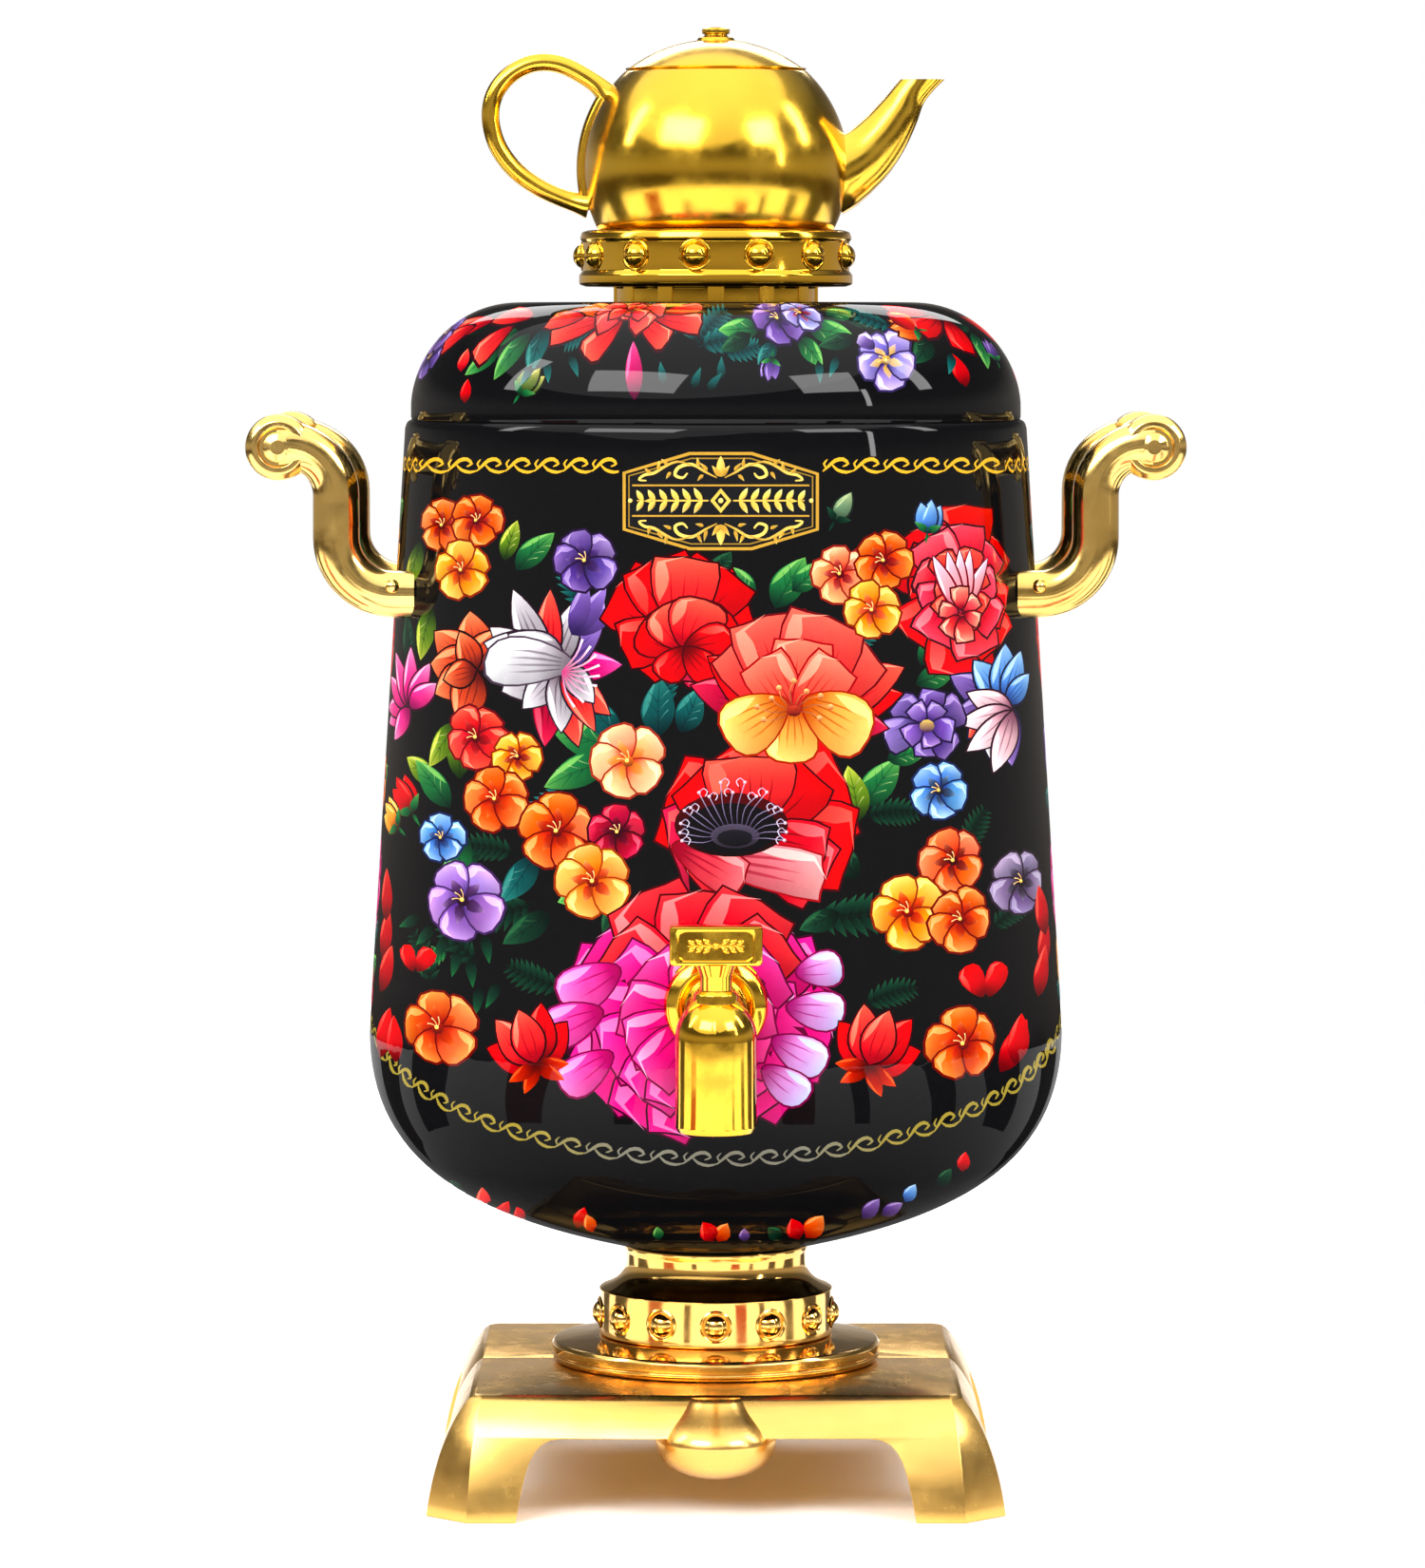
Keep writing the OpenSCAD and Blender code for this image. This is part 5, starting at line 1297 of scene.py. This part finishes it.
def art_lid():
    for x, y, a, L, pal, c in ((735, 362, 60, 46, TEAL, .2), (735, 362, 110, 44, TEAL, -.2), (735, 366, 20, 50, TEAL, .2), (720, 350, 160, 46, TEAL, .2), (760, 372, 0, 40, TEAL, -.2),
                               (885, 340, 20, 46, DARKG, .2), (640, 340, 200, 40, TEAL, -.2), (1000, 350, 30, 30, DARKG, .2), (470, 360, 200, 40, DARKG, .2), (940, 345, 160, 40, TEAL, .2)):
        fern(x, y, a, L, pal, 7, c, 0.34)
    for x, y, a, L, W, pal, b in ((548, 350, 205, 34, 9, GREEN, .1), (560, 352, 240, 44, 11, GREEN, -.1), (575, 345, 285, 40, 10, TEAL, .1), (530, 365, 230, 40, 10, GREEN, .1),
                                  (585, 338, 0, 40, 9, TEAL, .1), (800, 345, 190, 44, 12, GREEN, .1), (790, 352, 215, 36, 10, DARKG, .1), (850, 345, -15, 46, 12, GREEN, -.1),
                                  (840, 356, -45, 40, 10, GREEN, .1), (815, 360, 240, 30, 9, TEAL, .1), (870, 335, 20, 34, 9, GREEN, .1), (510, 350, 160, 34, 9, DARKG, .1),
                                  (640, 350, 250, 34, 9, DARKG, .1), (900, 355, 200, 40, 9, DARKG, .1), (975, 355, 230, 36, 9, DARKG, .1), (1020, 350, 260, 34, 8, GREEN, .1)):
        leaf(x, y, a, L, W, pal, b, 2)
    for x, y, a, L, W, p in ((520, 338, 200, 44, 13, CORAL), (540, 345, 235, 34, 12, CORAL), (560, 335, 175, 44, 12, CORAL), (585, 336, 20, 40, 12, CORAL), (500, 345, 215, 34, 12, CORAL),
                             (640, 336, 200, 54, 13, CORAL), (655, 338, 235, 40, 13, CORAL), (675, 336, 330, 40, 12, CORAL), (690, 335, 355, 50, 12, CORAL), (650, 332, 160, 50, 12, ORANGE),
                             (615, 335, 185, 36, 11, CORAL), (700, 330, 20, 40, 10, CORAL), (985, 335, 200, 34, 11, RED), (995, 338, 250, 30, 11, RED), (1010, 335, 330, 34, 10, RED), (975, 330, 170, 34, 10, RED)):
        petal(x, y, a, L, W, p[0], p[1], p[2], "frill", bend=rng.uniform(-.08, .08), hi=p[3], shade=(50, 4, 14), veins=2)
    rosette_flower(665, 328, 36, 12, [(7, 1.0, 0.4, CORAL, 6), (5, 0.6, 0.4, CORAL, 6)], 12)
    small5(818, 336, 27, LILAC, core=(40, 20, 70), sq=0.9)
    small5(842, 330, 20, ((60, 50, 110), (120, 110, 180), (176, 170, 220), (224, 220, 244)))
    bud(812, 378, 260, 24, LILAC)
    small5(932, 380, 30, ((60, 50, 120), (130, 110, 190), (190, 170, 226), (236, 230, 250)), core=(220, 170, 60))
    petal(920, 368, 140, 22, 9, LILAC[0], LILAC[1], LILAC[3], "round", hi=(255, 250, 255))
    bud(965, 348, 175, 26, ORANGE)
    petal(940, 342, 20, 30, 11, RED[0], RED[1], ORANGE[2], "leaf", hi=ORANGE[3])
    petal(1016, 408, 95, 38, 9, RED[0], RED[1], RED[2], "leaf", hi=RED[3])
    small5(452, 378, 22, LILAC, core=(40, 20, 70))
    small5(470, 352, 20, LILAC, core=(60, 20, 70))
    petal(486, 392, 100, 26, 6, CORAL[0], CORAL[1], CORAL[2], "leaf", hi=CORAL[3])
    petal(490, 425, 92, 26, 6, RED[0], RED[1], RED[2], "leaf", hi=RED[3])
    petal(668, 422, 91, 62, 9, (70, 4, 40), (168, 20, 84), (210, 70, 130), "leaf", hi=(236, 150, 190))
    bud(548, 415, 60, 32, ((30, 50, 20), (90, 110, 50), (180, 170, 90), (226, 214, 150)), GREEN)
    bud(1048, 380, 80, 24, LILAC)
    for x, y, a in ((560, 385, 250), (575, 380, 285), (600, 375, 300), (880, 375, 260), (860, 380, 285), (1000, 372, 250), (760, 400, 100), (730, 410, 80), (700, 405, 110), (745, 412, 60)):
        petal(x, y, a, 24, 4.5, DARKG[0], TEAL[1], TEAL[2], "drop", bend=.15, n=4)


def art_side(body):
    """A loose garland for the two flanks, which the front picture does not reach."""
    if body:
        scroll(lambda s, v: 599 + s * 30.6, lambda s, v: 494 + v, 9, 8.5, (222, 170, 52))
        scroll(lambda s, v: 649.3 + s * 33.57, lambda s, v: 1101 + 0.00207 * (s * 33.57 - 100.7) ** 2 + v, 6, 8.5, (150, 132, 52))
        for y, s in ((560, 1), (700, -1), (850, 1), (1000, -1), (1060, 1)):
            fern(750, y + 30, 90 + 28 * s, 70, DARKG, 8, .2 * s)
            leaf(750 + 10 * s, y, 90 - 60 * s, 60, 16, GREEN, .1)
            leaf(750 - 10 * s, y + 20, 90 + 70 * s, 56, 15, TEAL, -.1)
        small5(742, 545, 34, ORANGE)
        small5(772, 590, 30, YELLOW)
        rosette_flower(748, 690, 60, 58, [(9, 1.0, 0.4, RED, 6), (7, 0.7, 0.4, CORAL, 7), (5, 0.42, 0.4, CORAL, 8)], 10)
        small5(735, 800, 34, LILAC, core=(40, 20, 70))
        small5(770, 845, 32, ORANGE)
        rosette_flower(750, 955, 62, 60, [(9, 1.0, 0.4, MAGENTA, 6), (8, 0.72, 0.4, MAGENTA, 7), (5, 0.42, 0.4, CORAL, 8)], 25)
        small5(735, 1040, 32, YELLOW)
        small5(772, 1070, 28, CRIMSON)
    else:
        for s in (-1, 1):
            leaf(750, 352, 90 + 80 * s, 50, 12, GREEN, .1, 2)
            leaf(750, 360, 90 + 120 * s, 40, 10, TEAL, .1, 2)
        small5(750, 356, 28, ORANGE)
        small5(775, 376, 20, LILAC)
        bud(735, 385, 250, 26, RED)


class Skin:
    """A surface of revolution unrolled: U runs round it, V down its outline."""

    def __init__(self, outline, rref, x0):
        p = np.array(outline, float)
        s = np.concatenate([[0], np.cumsum(np.hypot(*np.diff(p, axis=0).T))])
        self.p, self.s, self.rref, self.x0 = p, s, rref, x0
        self.zz = p[:, 1] - 1e-7 * s
        self.U0, self.U1 = -0.5 * math.pi * rref, 1.5 * math.pi * rref

    def r(self, V):
        return np.interp(V, self.s, self.p[:, 0])

    def z(self, V):
        return np.interp(V, self.s, self.p[:, 1])

    def v_of(self, z):
        return np.interp(-z, -self.zz, self.s)

    def pin(self, an, mode):
        """Flowers near the limb are laid flat on the skin round their own centre instead of being projected."""
        if an is None or mode in ("L", "R", "l"):
            return None
        U, V = self.lay(np.array([an], float), mode)[0]
        th = U / self.rref - (math.pi if mode == "B" else 0)
        h = 0.3
        dr, dz = self.r(V + h) - self.r(V - h), self.z(V + h) - self.z(V - h)
        nr = abs(dz) / (math.hypot(dr, dz) + 1e-9)
        if an[1] > 1150 or (abs(math.sin(th)) < 0.62 and nr > 0.62):
            return None
        f = K * (DIST - float(self.r(V)) * math.cos(th) / K) / DIST
        return (an[0], an[1], U, V, f * self.rref / float(self.r(V)) / max(math.cos(th), 0.52), f / max(nr, 0.6))

    def lay(self, q, mode, pin=None):
        """Places in the picture to (U, V)."""
        x, y = q[:, 0], q[:, 1]
        if pin:
            ax, ay, U, V, ku, kv = pin
            return np.stack([U + (x - ax) * ku, V + (y - ay) * kv], 1)
        if mode in ("L", "R"):
            V = self.v_of(Z_EYE - (y - EYE) * K * 0.955)
            th = (x - 750) * K * 0.955 / np.maximum(self.r(V), 8)
            return np.stack([(th + (-math.pi / 2 if mode == "L" else math.pi / 2)) * self.rref, V], 1)
        d = np.full(len(q), 300.0)
        for _ in range(40):
            f = K * (DIST - d) / DIST
            X = (x - self.x0) * f
            V = self.v_of(Z_EYE - (y - EYE) * f)
            R = np.maximum(self.r(V), 3)
            sn = np.clip(X / R, -0.995, 0.995)
            d = 0.4 * d + 0.6 * R * np.sqrt(1 - sn * sn) / K
        th = np.arcsin(sn)
        return np.stack([(th + (math.pi if mode == "B" else 0)) * self.rref, V], 1)

    def see(self, U, V, mode, pin=None):
        """(U, V) back to places in the picture."""
        if pin:
            ax, ay, Ua, Va, ku, kv = pin
            return np.stack([ax + (U - Ua) / ku, ay + (V - Va) / kv], 1)
        th = U / self.rref
        R, z = self.r(V), self.z(V)
        if mode in ("L", "R", "l"):
            c = {"L": -math.pi / 2, "l": 1.5 * math.pi, "R": math.pi / 2}[mode]
            return np.stack([750 + (th - c) * R / (K * 0.955), EYE + (Z_EYE - z) / (K * 0.955)], 1)
        th = th - (math.pi if mode == "B" else 0)
        f = K * (DIST - R * np.cos(th) / K) / DIST
        return np.stack([self.x0 + R * np.sin(th) / f, EYE + (Z_EYE - z) / f], 1)


def inside(P, poly):
    x, y = P[:, 0], P[:, 1]
    ax, ay = poly[:, 0], poly[:, 1]
    bx, by = np.roll(ax, -1), np.roll(ay, -1)
    c = (ay[None] > y[:, None]) != (by[None] > y[:, None])
    dy = np.where(by == ay, 1e-9, by - ay)
    xi = ax[None] + (y[:, None] - ay[None]) * ((bx - ax) / dy)[None]
    return (np.sum(c & (x[:, None] < xi), axis=1) % 2).astype(bool)


def clip_u(poly, lim, keep_low):
    out = []
    n = len(poly)
    ok = poly[:, 0] <= lim if keep_low else poly[:, 0] >= lim
    if ok.all():
        return poly
    for i in range(n):
        a, b = poly[i], poly[(i + 1) % n]
        ka, kb = ok[i], ok[(i + 1) % n]
        if ka:
            out.append(a)
        if ka != kb:
            t = (lim - a[0]) / (b[0] - a[0])
            out.append(np.array([lim, a[1] + (b[1] - a[1]) * t]))
    return np.array(out) if len(out) > 2 else None


def lin(c):
    c = np.clip(np.asarray(c, float) / 255.0, 0, 1)
    return np.where(c <= 0.04045, c / 12.92, ((c + 0.055) / 1.055) ** 2.4)


def colour(P, s):
    x, y, a, L, W, c0, c1, c2, side = s
    ca, sa = math.cos(a), math.sin(a)
    dx, dy = P[:, 0] - x, P[:, 1] - y
    u = np.clip((dx * ca - dy * sa) / L, 0, 1)[:, None]
    v = np.clip((dx * sa + dy * ca) / W, -1.2, 1.2)[:, None]
    c0, c1, c2 = (np.array(c, float)[None] for c in (c0, c1, c2))
    t1 = np.clip(u / 0.5, 0, 1)
    t2 = np.clip((u - 0.5) / 0.5, 0, 1)
    c = c0 + (c1 - c0) * (t1 * t1 * (3 - 2 * t1)) + (c2 - c1) * t2 ** 1.3
    lit = float(np.dot([sa, ca], LIGHT))
    return c * (1 + side * v * lit)


def painted(name, skin, inner, art, side_art, rows, cols, material, body, nodes):
    global INK
    strokes = []
    INK = []
    side_art()
    for st in INK:
        if not st[3]:
            strokes += [(st, "L", None, -1), (st, "R", None, -1)]
    INK = []
    art()
    pins = {}
    for i, st in enumerate(INK):
        if st[2] not in pins:
            pins[st[2]] = (skin.pin(st[2], "F"), skin.pin(st[2], "B"))
        pf, pb = pins[st[2]]
        strokes.append((st, "F", pf, i))
        if not st[3]:
            strokes.append((st, "B", pb, i))
    pts, edges = [], []
    count = 0

    def add(P, loop=True, flags=None):
        nonlocal count
        m = len(P)
        pts.append(P)
        if loop:
            for i in range(m):
                if flags is None or flags[i]:
                    edges.append((count + i, count + (i + 1) % m))
        count += m

    # outlines, with what later strokes hide left out
    hidden = {}
    src = [st for st in INK]
    allp = np.concatenate([s[0] for s in src])
    own = np.concatenate([np.full(len(s[0]), i) for i, s in enumerate(src)])
    hid = np.zeros(len(allp), bool)
    tag = {a: (k + 1 if pins[a][0] else 0) for k, a in enumerate(pins)}
    tags = np.array([tag[s[2]] for s in src])
    ptag = tags[own]
    for i, s in enumerate(src):
        lo, hi = s[0].min(0), s[0].max(0)
        if s[3]:
            continue
        m = np.where((own < i) & ~hid & (ptag == tags[i]) & (allp[:, 0] > lo[0]) & (allp[:, 0] < hi[0]) & (allp[:, 1] > lo[1]) & (allp[:, 1] < hi[1]))[0]
        if len(m):
            hid[m[inside(allp[m], s[0])]] = True
    start = np.concatenate([[0], np.cumsum([len(s[0]) for s in src])])
    polys = []
    eps_u = 0.02
    ui = {}
    for st, mode, pn, art_i in strokes:
        ext = st[0].max(0) - st[0].min(0)
        if mode != "F" and min(ext) < 2.2:
            continue
        thin = 2 if mode != "F" and len(st[0]) > 9 else 1
        q = skin.lay(st[0][::thin], mode, pn)
        q[:, 1] = np.clip(q[:, 1], skin.vmin, skin.vmax)
        variants = [(q, mode)]
        if mode == "L":
            variants = [(q, "L"), (q + [2 * math.pi * skin.rref, 0], "l")]
        for qq, md in variants:
            qq = clip_u(qq, skin.U0, False)
            if qq is None or not len(qq):
                continue
            qq = clip_u(qq, skin.U1, True)
            if qq is None or not len(qq):
                continue
            polys.append((qq, st, md, pn))
            if art_i >= 0:
                h = hid[start[art_i]:start[art_i + 1]][::thin]
                if h.all():
                    continue
                if len(h) == len(qq):
                    keep = ~(h & np.roll(h, -1))
                    used = keep | np.roll(keep, 1)
                    idx = -np.ones(len(qq), int)
                    idx[used] = count + np.arange(used.sum())
                    pts.append(qq[used])
                    count += int(used.sum())
                    for a in np.where(keep)[0]:
                        edges.append((int(idx[a]), int(idx[(a + 1) % len(qq)])))
                else:
                    add(qq)
            else:
                add(qq)
            if mode == "F" and min(ext) > 10 and len(qq) > 7:
                c = qq.mean(0)
                ring = c + (qq[::2] - c) * 0.62
                pts.append(ring)
                count += len(ring)
                if min(ext) > 22:
                    ring = c + (qq[::3] - c) * 0.25
                    pts.append(ring)
                    count += len(ring)
    us = np.linspace(skin.U0, skin.U1, cols + 1)
    G = np.array([(u, v) for v in rows for u in us])
    base = count
    pts.append(G)
    count += len(G)
    nc = cols + 1
    for j in (0, len(rows) - 1):
        edges += [(base + j * nc + i, base + j * nc + i + 1) for i in range(cols)]
    for i in (0, cols):
        edges += [(base + j * nc + i, base + (j + 1) * nc + i) for j in range(len(rows) - 1)]
    P = np.concatenate(pts)
    P[:, 0] = np.clip(P[:, 0], skin.U0, skin.U1)
    vs, _, fs, *_ = geometry.delaunay_2d_cdt([Vector((float(a), float(b))) for a, b in P], edges, [], 0, 1e-4, False)
    V2 = np.array([(v.x, v.y) for v in vs])
    T = np.array([f for f in fs if len(f) == 3])
    tri = V2[T]
    ar = 0.5 * ((tri[:, 1, 0] - tri[:, 0, 0]) * (tri[:, 2, 1] - tri[:, 0, 1]) - (tri[:, 2, 0] - tri[:, 0, 0]) * (tri[:, 1, 1] - tri[:, 0, 1]))
    T = T[np.abs(ar) > 1e-7]
    tri = V2[T]
    cen = tri.mean(1)
    top = -np.ones(len(T), int)
    order = np.argsort(cen[:, 1], kind="stable")
    cv = cen[order, 1]
    for i, (q, st, md, pn) in enumerate(polys):
        lo, hi = q.min(0), q.max(0)
        a, b = np.searchsorted(cv, [lo[1], hi[1]])
        m = order[a:b]
        m = m[(cen[m, 0] > lo[0]) & (cen[m, 0] < hi[0])]
        if len(m):
            top[m[inside(cen[m], q)]] = i
    C = np.empty((len(T), 3, 3))
    C[:] = lin(BK)
    by = np.argsort(top, kind="stable")
    cut = np.searchsorted(top[by], np.arange(len(polys) + 1))
    for i, (q, st, md, pn) in enumerate(polys):
        m = by[cut[i]:cut[i + 1]]
        if not len(m):
            continue
        tr = tri[m].reshape(-1, 2)
        Q = skin.see(tr[:, 0], tr[:, 1], md, pn)
        C[m] = lin(colour(Q, st[1])).reshape(-1, 3, 3)
    # outside skin in space, with its own normals
    th = V2[:, 0] / skin.rref
    R, z = skin.r(V2[:, 1]), skin.z(V2[:, 1])
    X3 = np.stack([R * np.sin(th), -R * np.cos(th), z], 1)
    h = 0.35
    a_, b_ = V2[:, 1] - h, V2[:, 1] + h
    dr, dz = skin.r(b_) - skin.r(a_), skin.z(b_) - skin.z(a_)
    ln = np.hypot(dr, dz) + 1e-9
    nr, nz = -dz / ln, dr / ln
    N3 = np.stack([nr * np.sin(th), -nr * np.cos(th), nz], 1)
    # inside skin
    ip = np.array(inner, float)
    tcol = us / skin.rref
    rowsI = np.array([[(r * math.sin(t), -r * math.cos(t), zz) for t in tcol[:-1]] for r, zz in ip])
    X_in = rowsI.reshape(-1, 3)
    ni, m = len(ip), cols
    Tin, Nin = [], []
    for i in range(ni - 1):
        d = ip[i + 1] - ip[i]
        nn = np.array([-d[1], d[0]]) / (np.linalg.norm(d) + 1e-9)
        for j in range(m):
            k = (j + 1) % m
            A, B, Cc, D = i * m + j, i * m + k, (i + 1) * m + k, (i + 1) * m + j
            Tin += [(A, B, Cc), (A, Cc, D)]
            nj = (nn[0] * math.sin(tcol[j]), -nn[0] * math.cos(tcol[j]), nn[1])
            nk = (nn[0] * math.sin(tcol[k]), -nn[0] * math.cos(tcol[k]), nn[1])
            Nin += [(nj, nk, nk), (nj, nk, nj)]
    Tin = np.array(Tin) + len(X3)
    X = np.concatenate([X3, X_in])
    F = np.concatenate([T, Tin])
    LN = np.concatenate([N3[T], np.array(Nin)])
    C = np.concatenate([C, np.full((len(Tin), 3, 3), lin((120, 120, 118)).mean())])
    key = np.round(X * 2000).astype(np.int64)
    _, first, inv = np.unique(key, axis=0, return_index=True, return_inverse=True)
    inv = inv.reshape(-1)
    X = X[first]
    F = inv[F]
    ok = (F[:, 0] != F[:, 1]) & (F[:, 1] != F[:, 2]) & (F[:, 0] != F[:, 2])
    F, LN, C = F[ok], LN[ok], C[ok]
    fn = np.cross(X[F[:, 1]] - X[F[:, 0]], X[F[:, 2]] - X[F[:, 0]])
    flip = (fn * LN.mean(1)).sum(1) < 0
    F[flip] = F[flip][:, [0, 2, 1]]
    LN[flip] = LN[flip][:, [0, 2, 1]]
    C[flip] = C[flip][:, [0, 2, 1]]
    used, inv = np.unique(F, return_inverse=True)
    X = X[used]
    F = inv.reshape(F.shape)
    me = bpy.data.meshes.new(name)
    me.vertices.add(len(X))
    me.vertices.foreach_set("co", (X * MM).ravel())
    me.loops.add(F.size)
    me.loops.foreach_set("vertex_index", F.ravel())
    me.polygons.add(len(F))
    me.polygons.foreach_set("loop_start", np.arange(0, F.size, 3))
    me.polygons.foreach_set("loop_total", np.full(len(F), 3))
    me.update(calc_edges=True)
    at = me.color_attributes.new("paint", "FLOAT_COLOR", "CORNER")
    rgba = np.ones((F.size, 4), np.float32)
    rgba[:, :3] = C.reshape(-1, 3)
    at.data.foreach_set("color", rgba.ravel())
    me.polygons.foreach_set("use_smooth", np.ones(len(F), bool))
    ln3 = LN.reshape(-1, 3)
    ln3 /= np.linalg.norm(ln3, axis=1)[:, None] + 1e-12
    me.normals_split_custom_set([tuple(v) for v in ln3])
    ob = bpy.data.objects.new(name, me)
    scene.collection.objects.link(ob)
    me.materials.append(material)
    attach(ob, body)
    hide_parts(*nodes)
    print("PAINT", name, "strokes", len(polys), "points", count, "triangles", len(F))
    return ob


def tin_body():
    out = [(49.9, 178.4), (51.2, 178.4), (51.6, 178.15), (51.85, 177.8), (52.1, 177.0), (58.4, 75.5)]
    bw = bez((58.4, 75.5), (58.4, 51.6), (38, 44.6), (15.2, 39.4), 48)
    out += bw[1:] + [(2.2, 39.4)]
    inn = [(2.2, 39.4), (2.2, 40.2)] + bez((15, 40.2), (37.8, 45.5), (57.6, 52.2), (57.6, 75.5), 24)
    inn += [(51.3, 176.6), (50.6, 177.6), (49.9, 177.6), (49.9, 178.4)]
    sk = Skin(out, 56.0, 750.0)
    s = sk.s
    sk.vmin, sk.vmax = s[4] + 0.2, s[-2] - 0.5
    rows = list(s[:5]) + list(np.linspace(s[4], s[5], 26))[1:]
    rows += list(np.linspace(s[5], s[-2], 34))[1:] + [s[-1]]
    def art():
        art_bands()
        art_body()
    painted("tin_body_painted", sk, inn, art, lambda: art_side(True), rows, 120, LACQUER, "tin", ["body_wall", "body_bowl"])


def tin_lid():
    out = [(2.2, 198.0), (16, 198.0), (26, 198.0)] + bez((33, 198), (43.5, 198), (50.6, 189.4), (51.1, 181.1), 40) + [(51.1, 178.9), (50.95, 178.4)]
    inn = [(50.95, 178.4), (50.4, 178.4)] + bez((50.4, 181), (49.85, 188.8), (43, 197.3), (32.8, 197.3), 18) + [(2.2, 197.3), (2.2, 198.0)]
    sk = Skin(out, 45.0, 753.5)
    s = sk.s
    sk.vmin, sk.vmax = s[2] + 0.3, s[-2] - 0.1
    rows = list(s[:4]) + list(np.linspace(s[3], s[-2], 26))[1:] + [s[-1]]
    painted("tin_lid_painted", sk, inn, art_lid, lambda: art_side(False), rows, 144, LACQUER, "lid", ["lid_shell"])


tin_body()
tin_lid()
